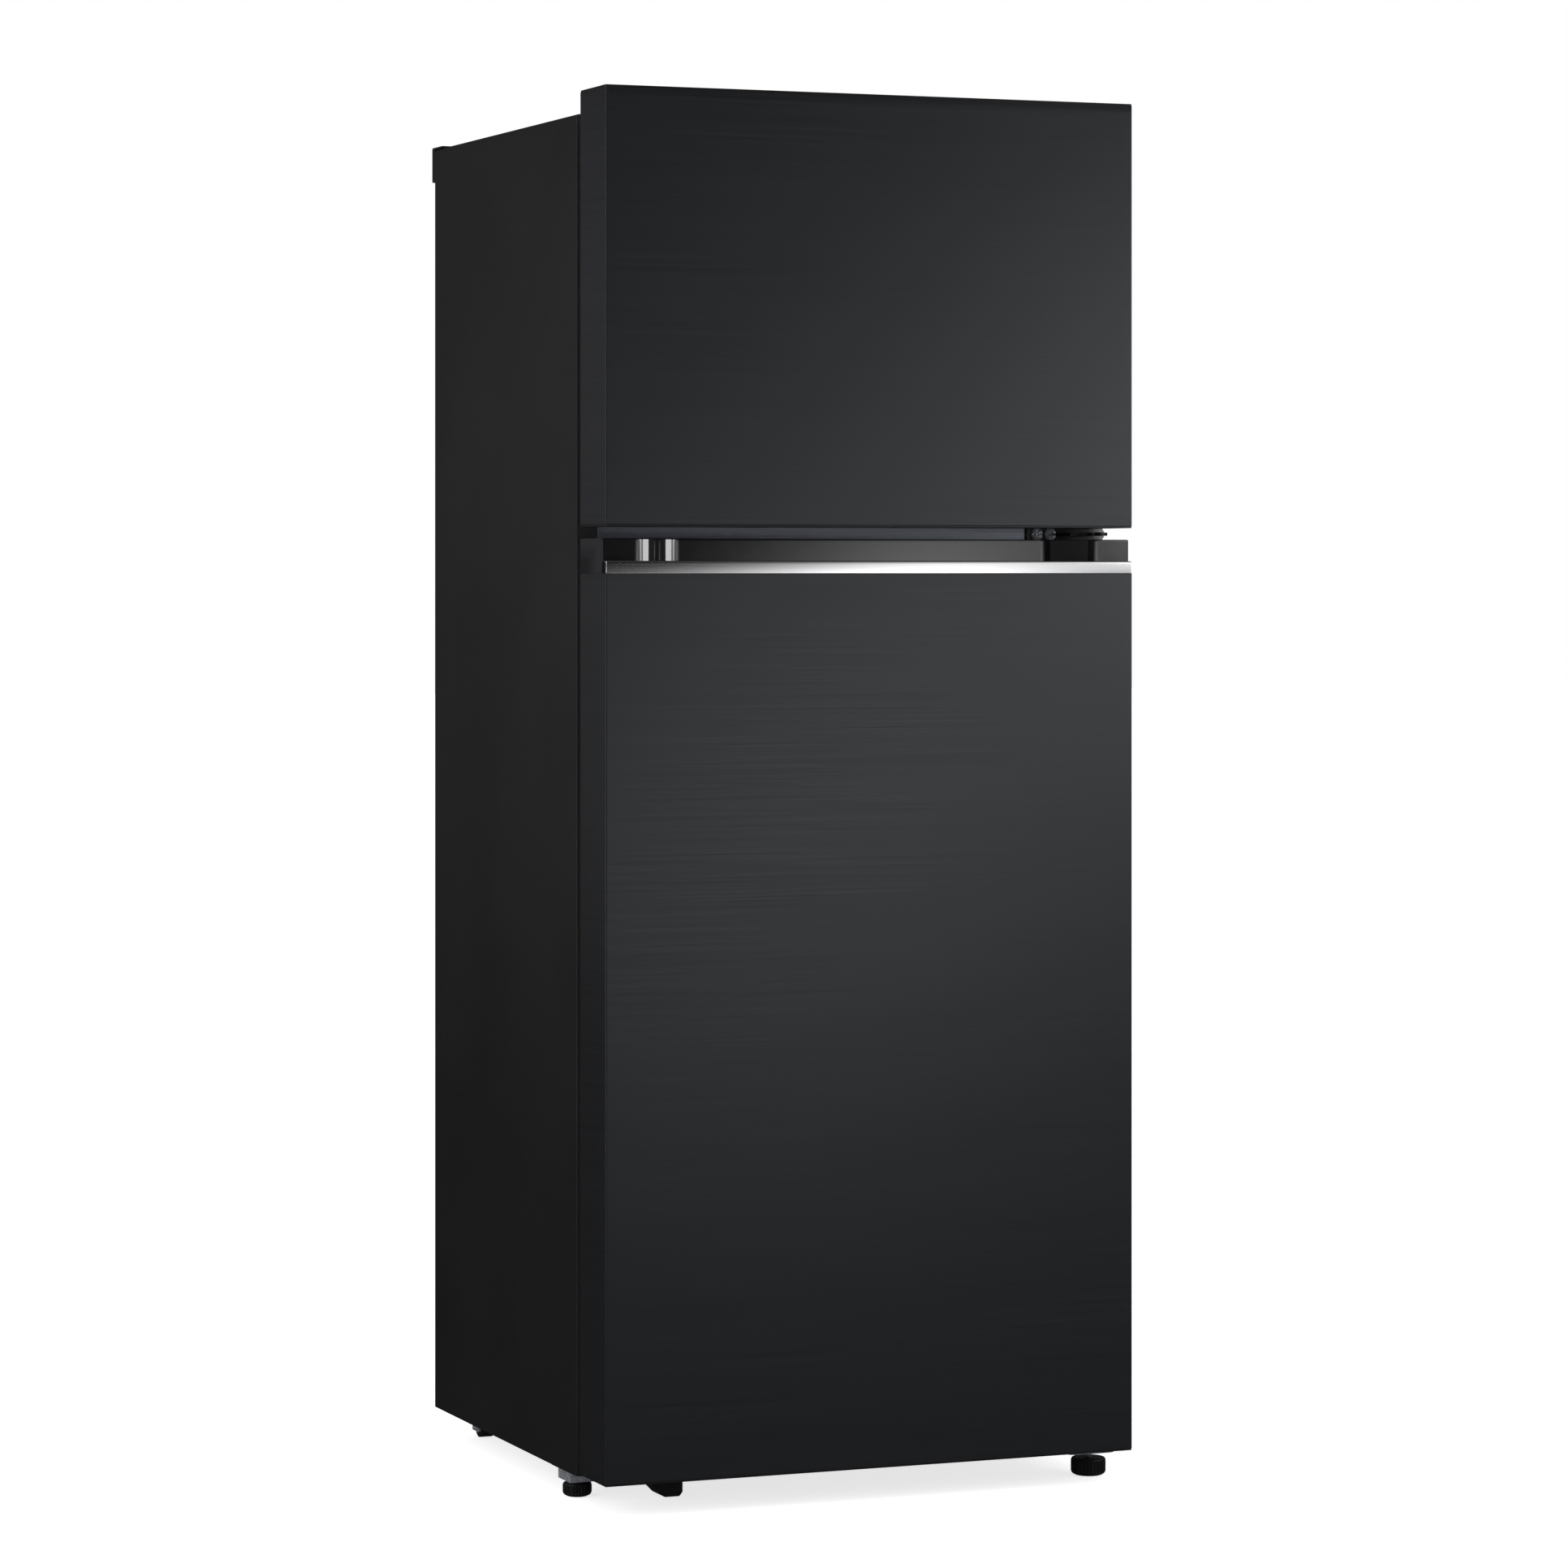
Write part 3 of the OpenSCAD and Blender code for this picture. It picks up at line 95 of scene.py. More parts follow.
def light_path_mix(tree, seen, lit, mirrored):
    """A colour that is one thing to the eye, one in soft light and one in reflections."""
    path = tree.nodes.new("ShaderNodeLightPath")
    mixes = []
    for test, other in (("Is Glossy Ray", mirrored), ("Is Camera Ray", seen)):
        mix = tree.nodes.new("ShaderNodeMix")
        mix.data_type = "RGBA"
        tree.links.new(path.outputs[test], mix.inputs[0])
        mix.inputs[7].default_value = (*other, 1)
        mixes.append(mix)
    mixes[0].inputs[6].default_value = (*lit, 1)
    tree.links.new(mixes[0].outputs[2], mixes[1].inputs[6])
    return mixes[1].outputs[2]


world = bpy.data.worlds.new("studio")
world.use_nodes = True
bpy.context.scene.world = world
background = world.node_tree.nodes["Background"]
ROOM_SEEN, ROOM_LIT, ROOM_MIRRORED = (1, 1, 1), (0.61, 0.61, 0.61), (0.071, 0.071, 0.074)
room = light_path_mix(world.node_tree, ROOM_SEEN, ROOM_LIT, ROOM_MIRRORED)
world.node_tree.links.new(room, background.inputs["Color"])

FLOOR_REACH, FLOOR_SEEN, FLOOR_MIRRORED = 40.0, (0.75, 0.75, 0.75), (0.021, 0.021, 0.021)
UNLIT = (0, 0, 0)
floor_material = bpy.data.materials.new("studio_floor")
floor_material.use_nodes = True
floor_tree = floor_material.node_tree
floor_shader = floor_tree.nodes["Principled BSDF"]
floor_shader.inputs["Base Color"].default_value = (0.9, 0.9, 0.9, 1)
floor_shader.inputs["Roughness"].default_value = 0.9
floor_shader.inputs["Specular IOR Level"].default_value = 0.0
floor_glow = light_path_mix(floor_tree, FLOOR_SEEN, UNLIT, UNLIT)
floor_tree.links.new(floor_glow, floor_shader.inputs["Emission Color"])
floor_shader.inputs["Emission Strength"].default_value = 1.0
dark_floor = floor_tree.nodes.new("ShaderNodeEmission")
dark_floor.inputs["Color"].default_value = (*FLOOR_MIRRORED, 1)
floor_path = floor_tree.nodes.new("ShaderNodeLightPath")
floor_mix = floor_tree.nodes.new("ShaderNodeMixShader")
floor_tree.links.new(floor_path.outputs["Is Glossy Ray"], floor_mix.inputs[0])
floor_tree.links.new(floor_shader.outputs[0], floor_mix.inputs[1])
floor_tree.links.new(dark_floor.outputs[0], floor_mix.inputs[2])
floor_tree.links.new(floor_mix.outputs[0], floor_tree.nodes["Material Output"].inputs["Surface"])

floor_mesh = bpy.data.meshes.new("floor")
floor_corners = ((-1, -1), (1, -1), (1, 1), (-1, 1))
floor_mesh.from_pydata([(x * FLOOR_REACH, y * FLOOR_REACH, 0) for x, y in floor_corners], [], [(0, 1, 2, 3)])
floor_mesh.materials.append(floor_material)
floor = bpy.data.objects.new("floor", floor_mesh)
bpy.context.scene.collection.objects.link(floor)


def soft_light(name, at, towards, size, radiance):
    """A flat rectangular light; its power is the radiance of its face times its area and pi."""
    data = bpy.data.lights.new(name, "AREA")
    data.shape = "RECTANGLE"
    data.size, data.size_y = size
    data.energy = radiance * math.pi * size[0] * size[1]
    lamp = bpy.data.objects.new(name, data)
    away = np.array(at) - np.array(towards)
    turn = math.atan2(away[0], -away[1])
    rise = math.atan2(away[2], math.hypot(away[0], away[1]))
    lamp.rotation_euler = (math.pi / 2 - rise, 0, turn)
    lamp.location = at
    lamp.visible_camera = False
    bpy.context.scene.collection.objects.link(lamp)


soft_light("right_softbox", (2.8, -2.6, 1.45), (0, -2.6, 1.45), (1.75, 0.8), 5.2)
soft_light("rear_left_softbox", (-1.5, 1.8, 1.2), (-0.35, -0.1, 1.1), (0.6, 1.3), 0.15)
soft_light("left_strip", (-2.5, -0.8, 1.2), (-0.35, -0.25, 1.2), (0.3, 2.2), 6.0)

# The main light is a large diffuser lit from behind by two lamps, so each pool of light on it is an
# ellipse that fades as exp(-r^2), with r measured in the lamp's own reach. A pool is its middle across
# and up, its lean in degrees, its two reaches and its brightness.
POOLS = (((1.142, 0.740), -45.8, (0.554, 0.242), 2.96), ((2.134, 1.343), -47.0, (0.212, 0.331), 6.0))
CARD_DISTANCE, CARD_SIDE, CARD_FOOT = 3.0, 3.0, 0.05
card_y = DOOR_FRONT_Y - CARD_DISTANCE
card_material = bpy.data.materials.new("diffuser")
card_material.use_nodes = True
card_tree = card_material.node_tree
card_tree.nodes.remove(card_tree.nodes["Principled BSDF"])
card_glow = card_tree.nodes.new("ShaderNodeEmission")
card_place = card_tree.nodes.new("ShaderNodeTexCoord")
card_total = None
for (middle_x, middle_z), lean, reach, radiance in POOLS:
    pool = card_tree.nodes.new("ShaderNodeMapping")
    pool.vector_type = "TEXTURE"
    pool.inputs["Location"].default_value = (middle_x, card_y, middle_z)
    pool.inputs["Rotation"].default_value = (0, math.radians(lean), 0)
    pool.inputs["Scale"].default_value = (reach[0], 1, reach[1])
    card_tree.links.new(card_place.outputs["Object"], pool.inputs["Vector"])
    distance = card_tree.nodes.new("ShaderNodeVectorMath")
    distance.operation = "DOT_PRODUCT"
    card_tree.links.new(pool.outputs["Vector"], distance.inputs[0])
    card_tree.links.new(pool.outputs["Vector"], distance.inputs[1])
    steps = [("MULTIPLY", -1.0), ("EXPONENT", None), ("MULTIPLY", radiance)]
    value = distance.outputs["Value"]
    for operation, amount in steps:
        node = card_tree.nodes.new("ShaderNodeMath")
        node.operation = operation
        card_tree.links.new(value, node.inputs[0])
        if amount is not None:
            node.inputs[1].default_value = amount
        value = node.outputs[0]
    if card_total:
        node = card_tree.nodes.new("ShaderNodeMath")
        card_tree.links.new(card_total, node.inputs[0])
        card_tree.links.new(value, node.inputs[1])
        value = node.outputs[0]
    card_total = value
card_tree.links.new(card_total, card_glow.inputs["Strength"])
card_tree.links.new(card_glow.outputs[0], card_tree.nodes["Material Output"].inputs["Surface"])
card_mesh = bpy.data.meshes.new("diffuser")
card_corners = ((0, CARD_FOOT), (0, CARD_SIDE), (CARD_SIDE, CARD_SIDE), (CARD_SIDE, CARD_FOOT))
card_mesh.from_pydata([(x, card_y, z) for x, z in card_corners], [], [(0, 1, 2, 3)])
card_mesh.materials.append(card_material)
card = bpy.data.objects.new("diffuser", card_mesh)
card.visible_camera = False
bpy.context.scene.collection.objects.link(card)


# ---------------------------------------------------------------------------------------------
# Door skins. Each is one sheet of black-coated steel, folded round the two upright front edges to
# the back of the door; fine level hairlines are rolled into it under the satin coat.

def coated(name, colour, roughness, metallic=0.0, specular=0.5):
    """A new material whose even values are set on its shader: (material, tree, shader)."""
    material = bpy.data.materials.new(name)
    material.use_nodes = True
    shader = material.node_tree.nodes["Principled BSDF"]
    shader.inputs["Base Color"].default_value = (*colour, 1)
    shader.inputs["Roughness"].default_value = roughness
    shader.inputs["Metallic"].default_value = metallic
    shader.inputs["Specular IOR Level"].default_value = specular
    return material, material.node_tree, shader


def speckle(tree, scale, stretch=(1, 1, 1), detail=3.0):
    """Noise in the piece's own metres, finer along an axis as its stretch grows."""
    place = tree.nodes.new("ShaderNodeTexCoord")
    mapping = tree.nodes.new("ShaderNodeMapping")
    mapping.inputs["Scale"].default_value = stretch
    noise = tree.nodes.new("ShaderNodeTexNoise")
    noise.inputs["Scale"].default_value = scale
    noise.inputs["Detail"].default_value = detail
    tree.links.new(place.outputs["Object"], mapping.inputs["Vector"])
    tree.links.new(mapping.outputs["Vector"], noise.inputs["Vector"])
    return noise.outputs["Fac"]


def spread(tree, factor, low, high, socket):
    """Carries the middle of a noise from low to high into a number socket."""
    remap = tree.nodes.new("ShaderNodeMapRange")
    for name, value in (("From Min", 0.3), ("From Max", 0.7), ("To Min", low), ("To Max", high)):
        remap.inputs[name].default_value = value
    tree.links.new(factor, remap.inputs["Value"])
    tree.links.new(remap.outputs["Result"], socket)


def tinted(tree, factor, dark, light, socket):
    """Carries the middle of a noise from a dark to a light colour."""
    ramp = tree.nodes.new("ShaderNodeValToRGB")
    for stop, place, colour in zip(ramp.color_ramp.elements, (0.35, 0.65), (dark, light)):
        stop.position = place
        stop.color = (*colour, 1)
    tree.links.new(factor, ramp.inputs["Fac"])
    tree.links.new(ramp.outputs["Color"], socket)


def pitted(tree, shader, factor, depth, strength=1.0):
    """Raises the surface by a noise, depth metres high."""
    bump = tree.nodes.new("ShaderNodeBump")
    bump.inputs["Distance"].default_value = depth
    bump.inputs["Strength"].default_value = strength
    tree.links.new(factor, bump.inputs["Height"])
    tree.links.new(bump.outputs["Normal"], shader.inputs["Normal"])


def hairline_steel():
    material, tree, shader = coated("hairline_black_steel", (0.012, 0.0125, 0.014), 0.34, 0.0, 0.78)
    shader.inputs["Specular Tint"].default_value = (0.92, 0.955, 1.0, 1)
    lines = speckle(tree, 1.0, (2.5, 2.5, 1100), 3.0)
    tinted(tree, lines, (0.0095, 0.010, 0.0114), (0.0155, 0.016, 0.0180), shader.inputs["Base Color"])
    spread(tree, speckle(tree, 1.0, (4, 4, 700), 2.0), 0.31, 0.37, shader.inputs["Roughness"])
    pitted(tree, shader, lines, 0.00001)
    return material


def rings(rows, steps=6):
    """Rectangles with round corners, one for each row (low u, low v, high u, high v, radius, height).
    P(row, u) = corner centre + radius * (cos t, sin t), as t turns once round through the four corners."""
    low_u, low_v, high_u, high_v, radius, height = np.array(rows, float).T[:, :, None]
    turn = (np.linspace(0, math.pi / 2, steps + 1)[None, :] + np.arange(4)[:, None] * math.pi / 2).ravel()
    right = np.repeat([1, 0, 0, 1], steps + 1)
    upper = np.repeat([1, 1, 0, 0], steps + 1)
    u = np.where(right, high_u - radius, low_u + radius) + radius * np.cos(turn)
    v = np.where(upper, high_v - radius, low_v + radius) + radius * np.sin(turn)
    return np.stack([u, v, np.broadcast_to(height, u.shape)], axis=2)


def inset_rows(low, high, profile, radius):
    """Rows for rings: the rectangle low to high drawn in by each profile point's inset, at its height."""
    return [(low[0] + inset, low[1] + inset, high[0] - inset, high[1] - inset,
             max(radius - inset, 1e-5), height) for inset, height in profile]


def eased(points, radius, steps=4, closed=False):
    """A line of points with its corners rounded: P(t) = (1-t)^2 A + 2t(1-t) C + t^2 B round each corner C,
    where A and B lie on its two sides, radius away from it but at most halfway along."""
    points = np.array(points, float)
    radii = np.broadcast_to(radius, (len(points),))
    t = np.linspace(0, 1, steps + 1)[:, None]
    out = []
    for i, corner in enumerate(points):
        if not closed and i in (0, len(points) - 1) or radii[i] <= 0:
            out.append(corner[None])
            continue
        ends = []
        for other in (points[i - 1], points[(i + 1) % len(points)]):
            reach = np.abs(other - corner).max()
            ends.append(corner + (other - corner) * min(radii[i] / max(reach, 1e-9), 0.5))
        out.append((1 - t) ** 2 * ends[0] + 2 * t * (1 - t) * corner + t ** 2 * ends[1])
    return np.concatenate(out)


def placed(grid, plane="xy", shift=(0, 0, 0)):
    """Turns (u, v, height) points so that u and v lie in the named plane of the room."""
    u, v, height = np.moveaxis(np.asarray(grid, float), -1, 0)
    order = {"xy": (u, v, height), "xz": (u, height, v), "yz": (height, u, v)}[plane]
    return np.stack(order, axis=-1) + np.array(shift)


def woven(grid, start, round_u=True, round_v=False, caps=True):
    """Vertices and faces of a grid of points: four-sided faces, and flat caps over open round ends."""
    rows, columns = grid.shape[:2]
    index = start + np.arange(rows * columns).reshape(rows, columns)
    wrapped = np.concatenate([index, index[:, :1]], 1) if round_u else index
    wrapped = np.concatenate([wrapped, wrapped[:1]], 0) if round_v else wrapped
    quads = np.stack([wrapped[:-1, :-1], wrapped[:-1, 1:], wrapped[1:, 1:], wrapped[1:, :-1]], -1)
    faces = [tuple(map(int, q)) for q in quads.reshape(-1, 4)]
    if caps and round_u and not round_v:
        faces += [tuple(int(i) for i in index[0][::-1]), tuple(int(i) for i in index[-1])]
    return grid.reshape(-1, 3), faces


def even_faces(obj):
    """Keeps broad flat faces flat to the light right up to their rounded edges."""
    obj.modifiers.new("even_faces", "WEIGHTED_NORMAL").keep_sharp = True


def piece(name, grids, material, body, stands_for=(), sharp=35, closed=True):
    """A new piece from grids of points, each given as (grid, woven options). Doubles are merged, faces are
    turned outwards, and edges sharper than the given angle stay crisp."""
    points, faces, start = [], [], 0
    for grid, options in grids:
        vertices, own = woven(np.asarray(grid, float), start, **options)
        points.append(vertices)
        faces += own
        start += len(vertices)
    mesh = bpy.data.meshes.new(name)
    mesh.from_pydata(np.concatenate(points), [], faces)
    work = bmesh.new()
    work.from_mesh(mesh)
    bmesh.ops.remove_doubles(work, verts=work.verts, dist=3e-5)
    bmesh.ops.dissolve_degenerate(work, edges=work.edges, dist=1e-6)
    if closed:
        bmesh.ops.recalc_face_normals(work, faces=work.faces)
    work.to_mesh(mesh)
    work.free()
    mesh.shade_smooth()
    mesh.set_sharp_from_angle(angle=math.radians(sharp))
    mesh.materials.append(material)
    obj = bpy.data.objects.new(name, mesh)
    bpy.context.scene.collection.objects.link(obj)
    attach(obj, body)
    if stands_for:
        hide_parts(*stands_for)
    if closed:
        even_faces(obj)
    return obj


def wall(obj, thickness, offset=-1.0):
    """Gives an open sheet its thickness, inwards from the side that shows."""
    solidify = obj.modifiers.new("wall", "SOLIDIFY")
    solidify.thickness = thickness
    solidify.offset = offset
    even_faces(obj)
    return obj


def door_sheet(node, notch_z=None, notch_front=None, step_z=None, step_front=None):
    """P(u, v): u runs from the left back edge round the front to the right back edge, v runs up.
    Above step_z the sheet keeps only its sides, behind step_front; above notch_z the right side is short."""
    low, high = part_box(node)
    bend, hem, ear_bend = 0.0022, 0.0004, 0.003
    plan = eased([(low.x, high.y), (low.x, low.y), (high.x, low.y), (high.x, high.y)], bend, 6)
    top = step_z if step_z else high.z
    levels = np.array([low.z, low.z + hem, top - hem, top])
    if notch_z:
        levels = np.array([low.z, low.z + hem, notch_z, notch_z + hem / 4, top])
    grid = np.concatenate([np.broadcast_to(plan[None], (len(levels), len(plan), 2)).copy(),
                           np.broadcast_to(levels[:, None, None], (len(levels), len(plan), 1))], axis=2)
    if notch_z:
        grid[levels > notch_z, -1, 1] = notch_front
    grids = [(grid, {"round_u": False})]
    if step_z:
        for x in (low.x, high.x):
            ear = eased([(step_front, step_z - ear_bend), (step_front, high.z), (high.y, high.z)],
                        ear_bend, 4)
            foot = np.stack([ear[:, 0], np.full(len(ear), step_z)], axis=1)
            side = np.stack([foot, np.maximum(ear, [step_front, step_z])])
            x_column = np.full(side.shape[:2] + (1,), x)
            side = np.concatenate([x_column, side], axis=2)
            grids.append((side if x > 0 else side[:, ::-1], {"round_u": False}))
    return grids


SKIN = 0.001
NOTCH_REACH, NOTCH_HEIGHT = 0.032, 0.013
LAND_DEPTH = 0.012
door_black = hairline_steel()
hinge_pin = frame["joints"][0]["pos_m"]
notch_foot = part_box("freezer_door_caps")[1].z - NOTCH_HEIGHT
wall(piece("freezer_door_skin", door_sheet("freezer_door_panel", notch_foot, hinge_pin[1] - NOTCH_REACH),
           door_black, "freezer_door", ["freezer_door_panel"], closed=False), SKIN)
trim_low, trim_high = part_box("handle_trim")
step_y = DOOR_FRONT_Y + LAND_DEPTH
wall(piece("fridge_door_skin", door_sheet("fridge_door_panel", step_z=trim_low.z, step_front=step_y),
           door_black, "fridge_door", ["fridge_door_panel"], closed=False), SKIN)


# ---------------------------------------------------------------------------------------------
# Door end caps. Black mouldings close both ends of each door; the corner blocks that hold the
# hinge pins are part of them. They keep their frame shape and gain eased edges.

def moulded(name, colour, roughness, fineness=1800.0, depth=0.00002, specular=0.45):
    """A moulded plastic: slightly uneven colour, fine spark-eroded texture."""
    material, tree, shader = coated(name, colour, roughness, 0.0, specular)
    cloud = speckle(tree, 30.0)
    dark, light = [c * 0.95 for c in colour], [min(c * 1.04, 1) for c in colour]
    tinted(tree, cloud, dark, light, shader.inputs["Base Color"])
    texture = speckle(tree, fineness, detail=2.0)
    spread(tree, texture, roughness - 0.05, roughness + 0.05, shader.inputs["Roughness"])
    pitted(tree, shader, texture, depth)
    return material


def softened(node, width, material, segments=2, sharp=30, name=None):
    """A copy of a frame piece with its facets joined and its edges eased by a small bevel."""
    source = frame["nodes"][node]
    mesh = source.data.copy()
    work = bmesh.new()
    work.from_mesh(mesh)
    bmesh.ops.remove_doubles(work, verts=work.verts, dist=2e-5)
    bmesh.ops.dissolve_limit(work, angle_limit=math.radians(1.0), verts=work.verts, edges=work.edges)
    work.to_mesh(mesh)
    work.free()
    mesh.materials.clear()
    mesh.materials.append(material)
    mesh.shade_smooth()
    mesh.set_sharp_from_angle(angle=math.radians(sharp))
    obj = bpy.data.objects.new(name or node + "_finished", mesh)
    bpy.context.scene.collection.objects.link(obj)
    bevel = obj.modifiers.new("eased_edges", "BEVEL")
    bevel.width = width
    bevel.segments = segments
    bevel.limit_method = "ANGLE"
    bevel.angle_limit = math.radians(40)
    bevel.harden_normals = True
    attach(obj, source["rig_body"])
    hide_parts(node)
    return obj


def dressed(node, material):
    """A frame piece whose shape is right as it stands gets its finish."""
    for place in frame["nodes"][node].material_slots:
        place.material = material


cap_black = moulded("cap_black", (0.011, 0.011, 0.012), 0.36)
softened("freezer_door_caps", 0.0006, cap_black)
softened("fridge_door_caps", 0.0006, cap_black)


# ---------------------------------------------------------------------------------------------
# Handle recess. One gloss black moulding across the top of the lower door: a flat stretch at each
# end, an S-curve on each side and a deep flat middle, with the grip lip standing in front of it.

def piano_black():
    material, tree, shader = coated("piano_black", (0.010, 0.010, 0.011), 0.08, 0.0, 0.5)
    shader.inputs["IOR"].default_value = 1.9
    pitted(tree, shader, speckle(tree, 7.0, detail=1.0), 0.00004)
    spread(tree, speckle(tree, 60.0), 0.065, 0.095, shader.inputs["Roughness"])
    return material


def recess_front(x, half, land, sweep, shallow, deep):
    """Setback of the wall at x: shallow over each flat end, deep in the middle, two equal arcs between."""
    drop = deep - shallow
    radius = (sweep ** 2 / 4 + drop ** 2 / 4) / drop
    along = np.clip(half - land - np.abs(x), 0, sweep)
    first = radius - np.sqrt(radius ** 2 - np.minimum(along, sweep / 2) ** 2)
    last = radius - np.sqrt(radius ** 2 - np.minimum(sweep - along, sweep / 2) ** 2)
    return shallow + np.where(along < sweep / 2, first, drop - last)


RECESS_LAND, RECESS_SWEEP, RECESS_WALL, RECESS_FLOOR = 0.040, 0.068, 0.004, 0.003
LIP_DEPTH, TRIM_GAUGE, LEDGE, SKIN_CLEAR = 0.009, 0.003, 0.001, 0.0012
recess_low, recess_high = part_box("handle_recess")
recess_deep = recess_high.y - DOOR_FRONT_Y - RECESS_WALL
groove_z = recess_low.z + RECESS_FLOOR
recess_half = recess_high.x
bend_x = recess_half - RECESS_LAND - np.linspace(0, RECESS_SWEEP, 41)
recess_x = np.concatenate([[-recess_half], -bend_x, bend_x[::-1], [recess_half]])
recess_y = DOOR_FRONT_Y + recess_front(recess_x, recess_half, RECESS_LAND, RECESS_SWEEP, LAND_DEPTH,
                                       recess_deep)
wall_section = eased([(0, groove_z), (0, recess_high.z - RECESS_FLOOR), (0, recess_high.z),
                      (RECESS_WALL, recess_high.z)], [0, 0, 0.0012, 0], 5)
recess_grid = np.stack([np.broadcast_to(recess_x, (len(wall_section), len(recess_x))),
                        np.minimum(recess_y[None, :] + wall_section[:, :1], recess_high.y),
                        np.broadcast_to(wall_section[:, 1:], (len(wall_section), len(recess_x)))], axis=2)
back_line = recess_grid[-1:].copy()
back_line[..., 1] = recess_high.y
back_foot = back_line.copy()
back_foot[..., 2] = groove_z
lip_back, trim_back = DOOR_FRONT_Y + LIP_DEPTH, DOOR_FRONT_Y + TRIM_GAUGE


def brick(low, high, corner, edge, plane="xy", steps=3):
    """A closed block: upright corners of one radius, all other edges eased by another."""
    low, high = np.array(low, float), np.array(high, float)
    u, v, h = {"xy": (0, 1, 2), "xz": (0, 2, 1), "yz": (1, 2, 0)}[plane]
    corner = max(corner, edge * 1.01)
    profile = eased([(edge * 2, low[h]), (0, low[h]), (0, high[h]), (edge * 2, high[h])], edge, steps)
    rows = inset_rows((low[u], low[v]), (high[u], high[v]), profile, corner)
    return placed(rings(rows, steps + 1), plane), {}


gloss = piano_black()
ledge_z = trim_high.z - LEDGE
land_blocks = [brick((left, trim_back, recess_low.z), (left + RECESS_LAND, step_y + LEDGE, ledge_z),
                     0.001, 0.0005) for left in (-recess_half, recess_half - RECESS_LAND)]
piece("recess_moulding", [
    (np.concatenate([recess_grid, back_line, back_foot]), {"round_u": False, "round_v": True}),
    brick((-recess_half, trim_back, recess_low.z), (recess_half, lip_back, ledge_z), 0.001, 0.0006),
    brick((-recess_half, DOOR_FRONT_Y + SKIN_CLEAR, recess_low.z), (recess_half, recess_high.y, groove_z),
          0.001, 0.0005),
    *land_blocks,
], gloss, "fridge_door", ["handle_recess"], 30)


# ---------------------------------------------------------------------------------------------
# Grip trim. A bright strip with a faintly bowed face caps the lip from end to end; its top edge
# rolls back over the lip.

def bright_metal():
    material, tree, shader = coated("bright_trim_metal", (0.95, 0.95, 0.96), 0.10, 1.0)
    spread(tree, speckle(tree, 1.0, (3, 300, 900)), 0.09, 0.12, shader.inputs["Roughness"])
    return material


def bar_along_x(section, low_x, high_x, edge):
    """A closed section in (y, z) carried along x, drawn in slightly at both ends."""
    section = np.array(section, float)
    middle = (section.min(0) + section.max(0)) / 2
    rows = [(low_x, edge), (low_x + edge / 2, edge / 4), (low_x + edge, 0), (high_x - edge, 0),
            (high_x - edge / 2, edge / 4), (high_x, edge)]
    span = section.max(0) - section.min(0)
    rings_along = [middle + (section - middle) * (1 - 2 * draw / span) for x, draw in rows]
    grid = [np.insert(ring, 0, x, axis=1) for ring, (x, draw) in zip(rings_along, rows)]
    return np.array(grid), {}


TRIM_BOW, TRIM_ROLL = 0.00005, 0.0009
trim_section = eased([(DOOR_FRONT_Y + TRIM_BOW, trim_low.z), (DOOR_FRONT_Y, (trim_low.z + trim_high.z) / 2),
                      (DOOR_FRONT_Y + TRIM_BOW, trim_high.z), (lip_back, trim_high.z),
                      (lip_back, trim_high.z - TRIM_ROLL), (trim_back, trim_high.z - TRIM_ROLL),
                      (trim_back, trim_low.z)],
                     [0.0005, 0.004, 0.0014, 0.0004, 0.0002, 0.0002, 0.0004], 5, closed=True)
piece("grip_trim", [bar_along_x(trim_section, trim_low.x, trim_high.x, 0.0006)], bright_metal(),
      "fridge_door", ["handle_trim"], 50)


# ---------------------------------------------------------------------------------------------
# Cabinet wrapper. One painted steel sheet forms both sides and the roof, with small bends along
# the top edges, and is folded inwards round the open front.

def case_paint():
    material, tree, shader = coated("case_paint", (0.0135, 0.013, 0.0125), 0.40, 0.0, 0.5)
    cloud = speckle(tree, 5.0)
    tinted(tree, cloud, (0.0125, 0.012, 0.0115), (0.0155, 0.015, 0.0143), shader.inputs["Base Color"])
    peel = speckle(tree, 420.0, detail=2.0)
    spread(tree, peel, 0.36, 0.44, shader.inputs["Roughness"])
    pitted(tree, shader, peel, 0.00003)
    return material


FLANGE, CASE_BEND, SHEET = 0.027, 0.004, 0.001
case_low, case_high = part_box("outer_case")
fold = eased([(SHEET, case_high.y), (0, case_high.y), (0, case_low.y), (FLANGE, case_low.y),
              (FLANGE, case_low.y + SHEET), (SHEET, case_low.y + SHEET)],
             [0, 0.0003, 0.0014, 0.0003, 0, 0], 6)
CORNER_STEPS = 8
case_rows = inset_rows((case_low.x, case_low.z), (case_high.x, case_high.z), fold, CASE_BEND)
shell = placed(rings(case_rows, CORNER_STEPS), "xz")
upper = shell[:, :2 * (CORNER_STEPS + 1)]
feet = [upper[:, :1].copy(), upper[:, -1:].copy()]
for foot in feet:
    foot[..., 2] = case_low.z
upper = np.concatenate([feet[0], upper, feet[1]], axis=1)
piece("cabinet_wrapper", [(upper.swapaxes(0, 1), {"round_u": True})], case_paint(), "cabinet",
      ["outer_case"], 40)


# ---------------------------------------------------------------------------------------------
# Rail between the compartments. A satin grey steel strip with a folded front edge closes the
# front of the insulated wall; both doors' gaskets seal on it.

def satin_steel(name, colour, roughness, grain=(8, 500, 500)):
    """A painted or rolled steel with level grain."""
    material, tree, shader = coated(name, colour, roughness, 0.75)
    lines = speckle(tree, 1.0, grain)
    tinted(tree, lines, [c * 0.9 for c in colour], [c * 1.1 for c in colour], shader.inputs["Base Color"])
    spread(tree, lines, roughness - 0.06, roughness + 0.06, shader.inputs["Roughness"])
    return material


